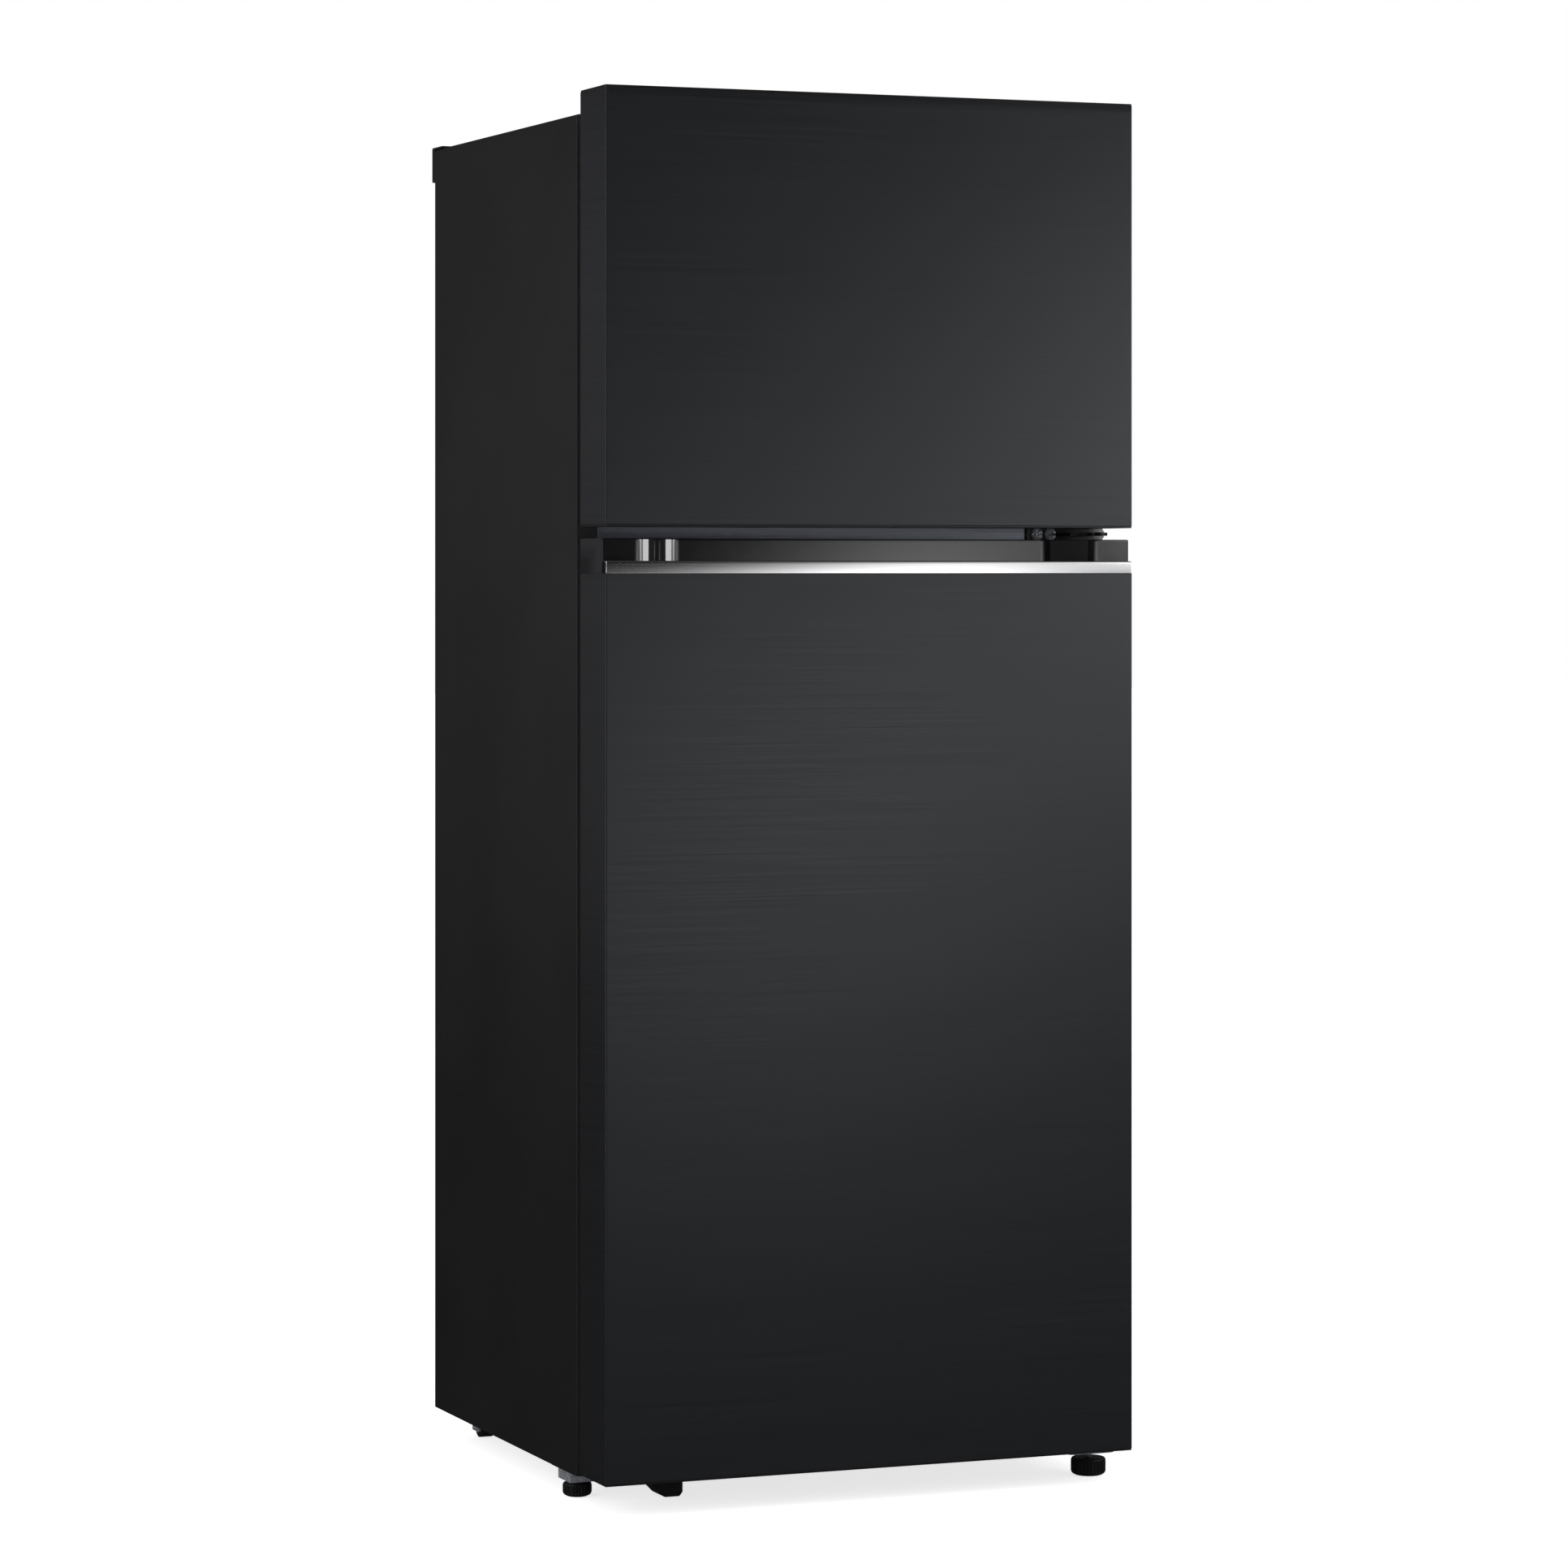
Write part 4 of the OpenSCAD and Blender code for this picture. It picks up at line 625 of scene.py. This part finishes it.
rail_low, rail_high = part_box("centre_rail")
piece("centre_rail_strip", [
    brick(rail_low, rail_high, 0.0015, 0.0007, "xz"),
], satin_steel("rail_grey", (0.150, 0.160, 0.190), 0.30), "cabinet", ["centre_rail"], 40)


# ---------------------------------------------------------------------------------------------
# Hinges. Plates stamped from steel: the one between the doors is painted black and carries a pin
# up and a pin down; the upper arm sits under a plastic cover; the lower plate is zinc plated.

def zinc_plate():
    """Bright zinc with its faint crystal patches."""
    material, tree, shader = coated("zinc_plate", (0.56, 0.59, 0.64), 0.32, 0.6)
    place = tree.nodes.new("ShaderNodeTexCoord")
    cells = tree.nodes.new("ShaderNodeTexVoronoi")
    cells.inputs["Scale"].default_value = 140.0
    tree.links.new(place.outputs["Object"], cells.inputs["Vector"])
    crystals = cells.outputs["Distance"]
    tinted(tree, crystals, (0.47, 0.50, 0.56), (0.66, 0.69, 0.74), shader.inputs["Base Color"])
    spread(tree, speckle(tree, 300.0), 0.24, 0.42, shader.inputs["Roughness"])
    pitted(tree, shader, speckle(tree, 900.0, detail=2.0), 0.00002)
    return material


def black_enamel():
    material, tree, shader = coated("black_enamel", (0.006, 0.006, 0.007), 0.34, 0.0, 0.3)
    peel = speckle(tree, 500.0, detail=2.0)
    spread(tree, peel, 0.30, 0.42, shader.inputs["Roughness"])
    pitted(tree, shader, peel, 0.00004)
    return material


zinc = zinc_plate()
enamel = black_enamel()
softened("centre_hinge", 0.0008, enamel)
softened("top_hinge", 0.0006, zinc)
softened("bottom_hinge", 0.0009, zinc)
softened("top_hinge_cover", 0.0012, cap_black, 3)


def lathe(axis, centre, profile, steps=12):
    """A profile of (radius, distance) points turned round an axis through the centre.
    P(i, t) = centre + distance_i along the axis + radius_i * (cos t, sin t)."""
    rows = [(-r, -r, r, r, r, h) for r, h in ((max(r, 1e-5), h) for r, h in profile)]
    return placed(rings(rows, steps), {"z": "xy", "y": "xz", "x": "yz"}[axis], centre), {}


def cross_head(axis, at, radius, height, out, steps=8):
    """A domed screw head with a cross recess. Height over the seat is a dome less a cross-shaped well:
    h(r, t) = height * (1 - 0.45 (r/R)^2) - well, where the well is deep within a thin band of either axis."""
    radii = radius * np.array([1.0, 1.0, 0.97, 0.9, 0.8, 0.7, 0.6, 0.52, 0.44, 0.36, 0.28, 0.2, 0.12, 0.05])
    turn = np.linspace(0, 2 * math.pi, steps * 8, endpoint=False)
    x, y = radii[:, None] * np.cos(turn), radii[:, None] * np.sin(turn)
    band = np.clip(1.6 - np.minimum(np.abs(x), np.abs(y)) / (0.09 * radius), 0, 1)
    well = 0.5 * height * band * np.clip((0.62 * radius - radii[:, None]) / (0.08 * radius), 0, 1)
    rise = height * (1 - 0.45 * (radii[:, None] / radius) ** 2) - well
    rise[0] = 0
    grid = np.stack([x, y, out * rise], axis=2)
    return placed(grid, {"z": "xy", "y": "xz"}[axis], at), {}


HEAD_WIDE, HEAD_SMALL, HEAD_HEIGHT, HEAD_CLEAR = 0.008, 0.005, 0.003, 0.0005
leaf_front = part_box("hinge_screws")[0].y + HEAD_HEIGHT
gap_middle_z = (rail_low.z + rail_high.z) / 2
screw_points = np.array([v.co for v in frame["nodes"]["hinge_screws"].data.vertices])
screw_grids = []


def screw_centres(points, grid=0.004):
    """The middles of separate clusters of points in plan."""
    left, centres = points[:, :2].copy(), []
    while len(left):
        near = np.linalg.norm(left - left[0], axis=1) < 3 * grid
        for _ in range(3):
            near = np.linalg.norm(left - left[near].mean(0), axis=1) < 2.6 * grid
        centres.append((left[near].min(0) + left[near].max(0)) / 2)
        left = left[~near]
    return centres


roof_heads = screw_points[screw_points[:, 2] > case_high.z + HEAD_HEIGHT + HEAD_CLEAR]
for x, y in screw_centres(roof_heads):
    screw_grids.append(cross_head("z", (x, y, case_high.z + HEAD_HEIGHT), HEAD_SMALL, HEAD_HEIGHT, 1))
low_heads = screw_points[screw_points[:, 2] < case_low.z - HEAD_HEIGHT - HEAD_CLEAR]
for x, y in screw_centres(low_heads):
    own = np.linalg.norm(low_heads[:, :2] - (x, y), axis=1) < HEAD_SMALL + 4 * HEAD_CLEAR
    seat = low_heads[own][:, 2].min() + HEAD_HEIGHT
    screw_grids.append(cross_head("z", (x, y, seat), HEAD_SMALL, HEAD_HEIGHT, -1))
near_gap = np.abs(screw_points[:, 2] - gap_middle_z) < 0.01
rail_heads = screw_points[(screw_points[:, 1] < leaf_front - HEAD_CLEAR) & near_gap]
head_row = np.sort(rail_heads[:, 0])
split = head_row[np.argmax(np.diff(head_row))] + 1e-4
for group in (head_row[head_row <= split], head_row[head_row > split]):
    x = (group.min() + group.max()) / 2
    screw_grids.append(cross_head("y", (x, leaf_front, gap_middle_z), HEAD_WIDE, HEAD_HEIGHT, -1))
piece("hinge_screw_heads", screw_grids, zinc, "cabinet", ["hinge_screws"], 30)

BUSH_BORE, BUSH_NECK, BUSH_COLLAR = 0.002, 0.0062, 0.0078
BUSH_SEAT, BUSH_STEP, BUSH_TOP = 0.0021, 0.0046, 0.0068
bush_side = np.array([(BUSH_BORE, BUSH_SEAT), (BUSH_COLLAR, BUSH_SEAT), (BUSH_COLLAR, BUSH_STEP),
                      (BUSH_NECK, BUSH_STEP), (BUSH_NECK, BUSH_TOP), (BUSH_BORE, BUSH_TOP)])
piece("centre_hinge_bushes", [
    lathe("z", (hinge_pin[0], hinge_pin[1], gap_middle_z), eased(bush_side * (1, way), 0.0005, 2))
    for way in (-1, 1)
], moulded("bush_nylon", (0.72, 0.73, 0.72), 0.35), "cabinet", (), 40)


# ---------------------------------------------------------------------------------------------
# Front feet. Black moulded feet on zinc threaded stems; their ribbed rims are turned by hand. The
# left one hangs in a pressed bracket, the right one in the nut under the lower hinge.

def ribbed_rim(centre, radius, height, ribs=30):
    """A foot's body: r(z, t) = profile(z) less a groove that follows cos(ribs t), faded in up the rim."""
    profile = eased([(0.002, 0), (radius - 0.006, 0), (radius - 0.0015, 0.0022), (radius, 0.005),
                     (radius, height - 0.0025), (radius - 0.0015, height), (0.0052, height)], 0.0012, 4)
    turn = np.linspace(0, 2 * math.pi, ribs * 8, endpoint=False)
    r, z = profile[:, :1], profile[:, 1:]
    fade = np.clip((z - 0.004) / 0.0012, 0, 1) * np.clip((height - 0.002 - z) / 0.0012, 0, 1)
    fade = fade * (r > radius - 0.002)
    groove = 0.0011 * fade * np.clip(0.5 + 1.4 * np.cos(ribs * turn)[None, :], 0, 1)
    spun = r - groove
    return np.stack([centre[0] + spun * np.cos(turn), centre[1] + spun * np.sin(turn),
                     np.broadcast_to(z, spun.shape)], axis=2), {}


def threaded_stem(centre, radius, low, high, pitch=0.0015):
    """A stem with a thread: r(z, t) = radius - depth * (1 + cos(2 pi z / pitch - t)) / 2."""
    depth = 0.0008
    z = np.arange(low, high, pitch / 6)
    turn = np.linspace(0, 2 * math.pi, 24, endpoint=False)
    ripple = radius - depth / 2 * (1 + np.cos(2 * math.pi * z[:, None] / pitch - turn))
    return np.stack([centre[0] + ripple * np.cos(turn), centre[1] + ripple * np.sin(turn),
                     np.broadcast_to(z[:, None], ripple.shape)], axis=2), {}


foot_black = moulded("foot_black", (0.010, 0.010, 0.0105), 0.42, 1400.0, 0.00003)
stem_zinc = satin_steel("stem_zinc", (0.45, 0.46, 0.48), 0.3, (60, 60, 60))
STEM_RADIUS = 0.0049
RIM_HEIGHTS = {"foot_left": 0.017, "foot_right": 0.022}
for foot_name, foot_height in RIM_HEIGHTS.items():
    foot_low, foot_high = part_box(foot_name)
    foot_middle = ((foot_low.x + foot_high.x) / 2, (foot_low.y + foot_high.y) / 2)
    foot_radius = (foot_high.x - foot_low.x) / 2
    piece(foot_name + "_rim", [ribbed_rim(foot_middle, foot_radius, foot_height)], foot_black,
          foot_name + "_body", [foot_name], 30)
    piece(foot_name + "_stem", [threaded_stem(foot_middle, STEM_RADIUS, foot_height - 0.001, foot_high.z)],
          stem_zinc, foot_name + "_body", (), 50)
softened("left_leg_bracket", 0.0007, zinc)
block_black = moulded("block_black", (0.016, 0.016, 0.017), 0.45, 900.0, 0.00004)
softened("support_block", 0.0018, block_black, 3)


# ---------------------------------------------------------------------------------------------
# Back of the cabinet. A galvanised panel with pressed stiffening beads, a slotted cover over the
# machine space, corner grips, and the rollers in the forks of the lower tray.

galvanised = zinc_plate()
galvanised.name = "galvanised_panel"
softened("back_panel", 0.0002, galvanised, 1)
dressed("base_pan", galvanised)
cover_black = moulded("cover_black", (0.020, 0.020, 0.021), 0.5, 700.0, 0.00004)
dressed("machine_cover", cover_black)
softened("rear_grips", 0.0015, cap_black, 3)
softened("compressor_tray", 0.0006, zinc)
dressed("roller_axles", zinc)
dressed("cord_gland", cap_black)
roller_nylon = moulded("roller_nylon", (0.014, 0.014, 0.015), 0.4)
ROLLER_BORE, ROLLER_HUB, ROLLER_RIM, ROLLER_DISH, ROLLER_EASE = 0.0031, 0.006, 0.004, 0.002, 0.001
for side in ("left", "right"):
    roller_low, roller_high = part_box("roller_" + side)
    half_hub, rim_r = (roller_high.x - roller_low.x) / 2, (roller_high.z - roller_low.z) / 2
    half_rim = half_hub - ROLLER_EASE
    web = half_rim - ROLLER_DISH
    half_side = [(rim_r, half_rim), (rim_r - ROLLER_RIM, half_rim), (rim_r - ROLLER_RIM, web),
                 (ROLLER_HUB, web), (ROLLER_HUB, half_hub), (ROLLER_BORE, half_hub)]
    roller_side = eased([(r, -x) for r, x in half_side[::-1]] + half_side, ROLLER_EASE, 3)
    grid, _ = lathe("x", (roller_low + roller_high) / 2, np.concatenate([roller_side, roller_side[:1]]))
    piece("roller_" + side + "_wheel", [(grid[:-1], {"round_v": True})], roller_nylon,
          "roller_" + side + "_body", ["roller_" + side], 35)


# ---------------------------------------------------------------------------------------------
# Machinery at the lower back. A black-lacquered compressor shell with its seam and foot plate, a
# finned condenser, a fan on its motor, and the dish in which melted frost dries.

def lacquer():
    material, tree, shader = coated("compressor_lacquer", (0.008, 0.008, 0.009), 0.28, 0.0, 0.5)
    drips = speckle(tree, 60.0)
    spread(tree, drips, 0.2, 0.36, shader.inputs["Roughness"])
    pitted(tree, shader, drips, 0.0002)
    return material


SEAM, MOUNT_HEIGHT, PLATE_HALF_THICK, GROMMET_RADIUS = 0.0024, 0.014, 0.002, 0.0085
shell_low, shell_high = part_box("compressor")
shell_r = (shell_high.y - shell_low.y) / 2 - 0.0025
shell_x, shell_y = shell_high.x - 0.0025 - shell_r, (shell_low.y + shell_high.y) / 2
shell_black = lacquer()
mount_top = shell_low.z + MOUNT_HEIGHT
shell_rise = shell_high.z - mount_top
shell_side = eased([(0.002, 0), (shell_r - 0.002, 0), (shell_r, shell_rise * 0.47),
                    (shell_r + SEAM, shell_rise * 0.475), (shell_r + SEAM, shell_rise * 0.51),
                    (shell_r, shell_rise * 0.515), (shell_r - 0.001, shell_rise), (0.002, shell_rise)],
                   [0, 0.022, 0.0008, 0.0008, 0.0008, 0.0008, 0.026, 0], 7)
plate_x, plate_y = shell_r + 0.008, shell_r - 0.004
box_x, box_half_y = shell_x - shell_r, 0.022
shell_parts = [lathe("z", (shell_x, shell_y, mount_top), shell_side, 16),
               brick((shell_x - plate_x, shell_y - plate_y, mount_top - PLATE_HALF_THICK),
                     (shell_x + plate_x, shell_y + plate_y, mount_top + PLATE_HALF_THICK), 0.012, 0.0006),
               brick((box_x - 0.022, shell_y - box_half_y, mount_top + 0.030),
                     (box_x + 0.018, shell_y + box_half_y, mount_top + 0.086), 0.005, 0.003)]
grommet = eased([(0.002, 0), (GROMMET_RADIUS, 0), (GROMMET_RADIUS - 0.002, 0.0065), (GROMMET_RADIUS, 0.0125),
                 (0.002, 0.0125)], 0.002, 3)
for x in (-1, 1):
    for y in (-1, 1):
        corner = (shell_x + x * (shell_r - 0.006), shell_y + y * (shell_r - 0.018), shell_low.z)
        shell_parts.append(lathe("z", corner, grommet, 8))
piece("compressor_shell", shell_parts, shell_black, "cabinet", ["compressor"], 35)
dressed("condenser", shell_black)
dressed("condenser_motor", moulded("motor_housing", (0.02, 0.021, 0.022), 0.4))
softened("drip_tray", 0.0008, cap_black)


def fan_wheel(axis, centre, radius, hub, length, blades, chord, pitch):
    """A hub and swept blades. A blade point is (r, s): s turns with the pitch angle, easing towards the tip,
    and lies off the chord by a parabolic camber; its section has the thickness of a thin lens."""
    camber, half_thick, bore, sweep = 0.0022, 0.0007, 0.0022, 0.25
    s = np.concatenate([np.linspace(-1, 1, 15), np.linspace(1, -1, 15)[1:-1]])
    face = np.concatenate([np.ones(15), -np.ones(13)])
    r = np.linspace(hub * 0.9, radius, 10)[:, None]
    out = (r - hub) / (radius - hub)
    lean = pitch * (1 - 0.35 * out)
    half = chord / 2 * (0.75 + 0.45 * out) * np.sqrt(1 - 0.85 * out ** 8)
    off = camber * (1 - s ** 2) + face * half_thick * np.sqrt(np.maximum(1 - s ** 4, 0))
    along = half * s * np.sin(lean) + off * np.cos(lean)
    across = half * s * np.cos(lean) - off * np.sin(lean)
    grids = []
    for turn in np.arange(blades) * 2 * math.pi / blades:
        angle = turn + across / r + sweep * out ** 2
        blade = np.stack([r * np.cos(angle), r * np.sin(angle), along], axis=2)
        grids.append((placed(blade, {"x": "yz", "y": "xz"}[axis], centre), {}))
    end = length / 2
    hub_side = eased([(bore, -end), (hub, -end), (hub, end), (bore, end)], 0.0015, 3)
    grids.append(lathe(axis, centre, hub_side, 8))
    return grids


HUB, HUB_LENGTH, BLADES, CHORD, PITCH = 0.012, 0.013, 5, 0.019, math.radians(40)
TIP_CLEAR = 0.995
fan_grey = moulded("fan_grey", (0.30, 0.34, 0.38), 0.35, 900.0, 0.00002)
for fan, axis in (("condenser_fan", "x"), ("evaporator_fan", "y")):
    middle = next(j for j in frame["joints"] if j["child"] == fan + "_body")["pos_m"]
    reach = (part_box(fan)[1].z - middle[2]) * TIP_CLEAR
    piece(fan + "_wheel", fan_wheel(axis, middle, reach, HUB, HUB_LENGTH, BLADES, CHORD, PITCH), fan_grey,
          fan + "_body", [fan], 35)


# ---------------------------------------------------------------------------------------------
# Insulation. Rigid foam is blown between steel and liner and hardens in place; it is seen only
# where a cover comes off, so it keeps its frame shape with a porous finish.

def rigid_foam():
    material, tree, shader = coated("rigid_foam", (0.78, 0.68, 0.42), 0.9, 0.0, 0.2)
    cells = speckle(tree, 400.0, detail=6.0)
    tinted(tree, cells, (0.70, 0.60, 0.36), (0.84, 0.75, 0.50), shader.inputs["Base Color"])
    pitted(tree, shader, cells, 0.0006)
    return material


foam_cream = rigid_foam()
for node in ("insulation_foam", "freezer_door_foam", "fridge_door_foam"):
    dressed(node, foam_cream)


# ---------------------------------------------------------------------------------------------
# Liners. Each compartment and each door back is one white vacuum-formed sheet: its folds are
# rounded, and the cabinet liners turn outwards over the front edge.

FRONT_FOLD, DOOR_FOLD = 0.0009, 0.0055
liner_white = moulded("liner_white", (0.80, 0.81, 0.82), 0.30, 700.0, 0.00003)
for compartment in ("freezer", "fridge"):
    softened(compartment + "_liner", FRONT_FOLD, liner_white, 2)
for door in ("freezer_door", "fridge_door"):
    softened(door + "_liner", DOOR_FOLD, liner_white, 5)


# ---------------------------------------------------------------------------------------------
# Door gaskets. A soft black extrusion, welded at its corners: a foot pressed into the door's back,
# a folded bellows and a flat magnet pocket that meets the cabinet.

def soft_rubber():
    material, tree, shader = coated("soft_rubber", (0.020, 0.021, 0.022), 0.55, 0.0, 0.35)
    bloom = speckle(tree, 50.0)
    tinted(tree, bloom, (0.016, 0.017, 0.018), (0.030, 0.031, 0.032), shader.inputs["Base Color"])
    pitted(tree, shader, speckle(tree, 1500.0), 0.00002)
    return material


SEAL_CORNER = 0.006
SEAL_SECTION = [(0.003, 0), (0.0, 0.18), (0.0022, 0.36), (0.0006, 0.58), (0.0, 0.8), (0.0004, 1.0),
                (0.0176, 1.0), (0.018, 0.78), (0.013, 0.6), (0.0145, 0.4), (0.0175, 0.2), (0.015, 0)]
rubber = soft_rubber()
for door in ("freezer_door", "fridge_door"):
    seal_low, seal_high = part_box(door + "_gasket")
    bellows = eased(SEAL_SECTION, 0.0009, 3, closed=True)
    bellows[:, 1] = seal_low.y + bellows[:, 1] * (seal_high.y - seal_low.y)
    loop = inset_rows((seal_low.x, seal_low.z), (seal_high.x, seal_high.z), bellows, SEAL_CORNER)
    piece(door + "_seal", [(placed(rings(loop, 5), "xz"), {"round_v": True})], rubber, door,
          [door + "_gasket"], 50)


# ---------------------------------------------------------------------------------------------
# Clear boxes. Door bins, vegetable and chill drawers and the ice bin are moulded in clear plastic:
# a drafted tub with a rolled rim. Drawers have a raised front with a grip below its edge.

def clear_plastic():
    material, tree, shader = coated("clear_plastic", (0.86, 0.93, 0.95), 0.08, 0.0, 0.5)
    shader.inputs["Transmission Weight"].default_value = 0.85
    shader.inputs["IOR"].default_value = 1.45
    flow = speckle(tree, 9.0, detail=1.0)
    tinted(tree, flow, (0.82, 0.90, 0.93), (0.90, 0.95, 0.97), shader.inputs["Base Color"])
    spread(tree, flow, 0.05, 0.13, shader.inputs["Roughness"])
    return material


def tub_rows(low, high, wall, corner, draft, rim=0.0016):
    """A tub's rings: up the drafted outside, over a rolled rim, down the inside and across the floor."""
    depth, floor_reach, neck = high[2] - low[2], 0.02, 0.0006
    line = eased([(floor_reach, 0), (draft, 0), (neck, depth - 0.004), (0.0, depth - 0.003), (0.0, depth),
                  (wall + rim, depth), (wall + rim, depth - 0.003), (wall + neck, depth - 0.006),
                  (wall + draft, wall), (wall + floor_reach, wall)],
                 [0, 0.006, 0.0008, 0.0008, 0.0012, 0.0012, 0.0008, 0.001, 0.005, 0], 4)
    rows = [(low[0] + inset, low[1] + inset, high[0] - inset, high[1] - inset,
             max(corner - 0.4 * inset, 0.001), low[2] + rise) for inset, rise in line]
    return rings(rows, 6), {}


BIN_WALL, BIN_CORNER, BIN_DRAFT = 0.0025, 0.014, 0.003
BAR_DROP, BAR_HEIGHT, BAR_DEPTH, BAR_END = 0.012, 0.010, 0.0035, 0.016
clear = clear_plastic()
bins = [o for o in frame["record"]["physics"]["openings"] if "_bin_" in o["name"]]
for door in ("freezer", "fridge"):
    own_low, own_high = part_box(door + "_door_bins")
    bar_back, bar_front = own_high.y - BAR_DEPTH, own_high.y - 0.0001
    grids = []
    for opening in (o for o in bins if o["name"].startswith(door)):
        inside_low, inside_high = opening["box_m"]
        floor_z, bar_z = inside_low[2] - 0.001 - BIN_WALL, inside_high[2] - BAR_DROP
        rim_z = inside_high[2] + 0.0005
        grids.append(tub_rows((own_low.x, own_low.y, floor_z), (own_high.x, own_high.y, rim_z), BIN_WALL,
                              BIN_CORNER, BIN_DRAFT))
        bar = eased([(bar_back, bar_z), (bar_front, bar_z + 0.001), (bar_front, bar_z + BAR_HEIGHT - 0.001),
                     (bar_back, bar_z + BAR_HEIGHT)], 0.0008, 3, closed=True)
        grids.append(bar_along_x(bar, own_low.x + BAR_END, own_high.x - BAR_END, 0.001))
    piece(door + "_door_racks", grids, clear, door + "_door", [door + "_door_bins"], 35)
softened("ice_bin", 0.0009, clear)
for node in ("crisper_left", "crisper_right", "chill_drawer"):
    softened(node, 0.0012, clear, 3)
dressed("lamp_lens", clear)


# ---------------------------------------------------------------------------------------------
# Shelves and fittings. Toughened glass panes lie in white frames; the freezer's barred shelf, fan
# cover, ice maker, air column and control housing are white mouldings with blue-grey controls.

def pane_glass():
    material, tree, shader = coated("pane_glass", (0.80, 0.93, 0.90), 0.02, 0.0, 0.5)
    shader.inputs["Transmission Weight"].default_value = 1.0
    shader.inputs["IOR"].default_value = 1.5
    flow = speckle(tree, 3.0, detail=1.0)
    tinted(tree, flow, (0.78, 0.92, 0.89), (0.84, 0.95, 0.93), shader.inputs["Base Color"])
    return material


softened("shelf_glass", 0.0008, pane_glass())
softened("shelf_frames", 0.0012, liner_white)
fitting_white = moulded("fitting_white", (0.77, 0.78, 0.79), 0.36, 900.0, 0.00003)
for node, width in (("evaporator_cover", 0.0006), ("duct_cover", 0.002), ("control_housing", 0.0035),
                    ("ice_rack", 0.0009), ("freezer_shelf", 0.0005)):
    softened(node, width, fitting_white, 3)
control_blue = moulded("control_blue", (0.16, 0.25, 0.34), 0.34, 900.0, 0.00003)
softened("ice_tray", 0.0005, control_blue)
softened("airflow_slider", 0.0006, control_blue)
dressed("evaporator_motor", cap_black)


# ---------------------------------------------------------------------------------------------
# Evaporator. Bare aluminium fins pressed on a folded coil, faintly dulled by frost; it hangs behind
# the freezer's fan cover.

def fin_stock():
    material, tree, shader = coated("fin_stock", (0.72, 0.74, 0.76), 0.35, 1.0)
    frost = speckle(tree, 90.0)
    tinted(tree, frost, (0.62, 0.64, 0.66), (0.80, 0.82, 0.84), shader.inputs["Base Color"])
    spread(tree, frost, 0.28, 0.45, shader.inputs["Roughness"])
    return material


dressed("evaporator", fin_stock())


# ---------------------------------------------------------------------------------------------
# Temperature dial. A blue-grey moulded knob with a fluted skirt and a raised pointer bar across its
# face; its stem turns in the control housing.

DIAL_SKIRT, DIAL_STEM, DIAL_STEM_R, DIAL_FLUTES, POINTER = 0.012, 0.0215, 0.004, 24, 0.002
dial_low, dial_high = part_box("temperature_knob")
dial_x, _, dial_z = next(j for j in frame["joints"] if j["child"] == "temperature_knob_body")["pos_m"]
dial_r = (dial_high.x - dial_low.x) / 2
face_y = dial_low.y + 0.006
dial_side = eased([(0.002, DIAL_STEM), (DIAL_STEM_R, DIAL_STEM), (DIAL_STEM_R, DIAL_SKIRT),
                   (dial_r, DIAL_SKIRT), (dial_r - 0.001, 0.0), (0.002, 0.0)],
                  [0, 0.0005, 0.0005, 0.0012, 0.002, 0], 4)
turn = np.linspace(0, 2 * math.pi, DIAL_FLUTES * 6, endpoint=False)
side_r, side_y = dial_side[:, :1], dial_side[:, 1:]
flutes = 1 - 0.035 * np.clip(np.cos(DIAL_FLUTES * turn), 0, 1)
fluted_r = side_r * np.where(side_r > 2 * DIAL_STEM_R, flutes, 1)
dial = np.stack([fluted_r * np.cos(turn), fluted_r * np.sin(turn),
                 np.broadcast_to(side_y, fluted_r.shape)], axis=2)
piece("temperature_dial", [
    (placed(dial, "xz", (dial_x, face_y, dial_z)), {}),
    brick((dial_x - POINTER, dial_low.y, dial_z - dial_r + POINTER),
          (dial_x + POINTER, face_y + 0.001, dial_z + dial_r - POINTER), 0.0012, 0.0008, "xz"),
], control_blue, "temperature_knob_body", ["temperature_knob"], 40)
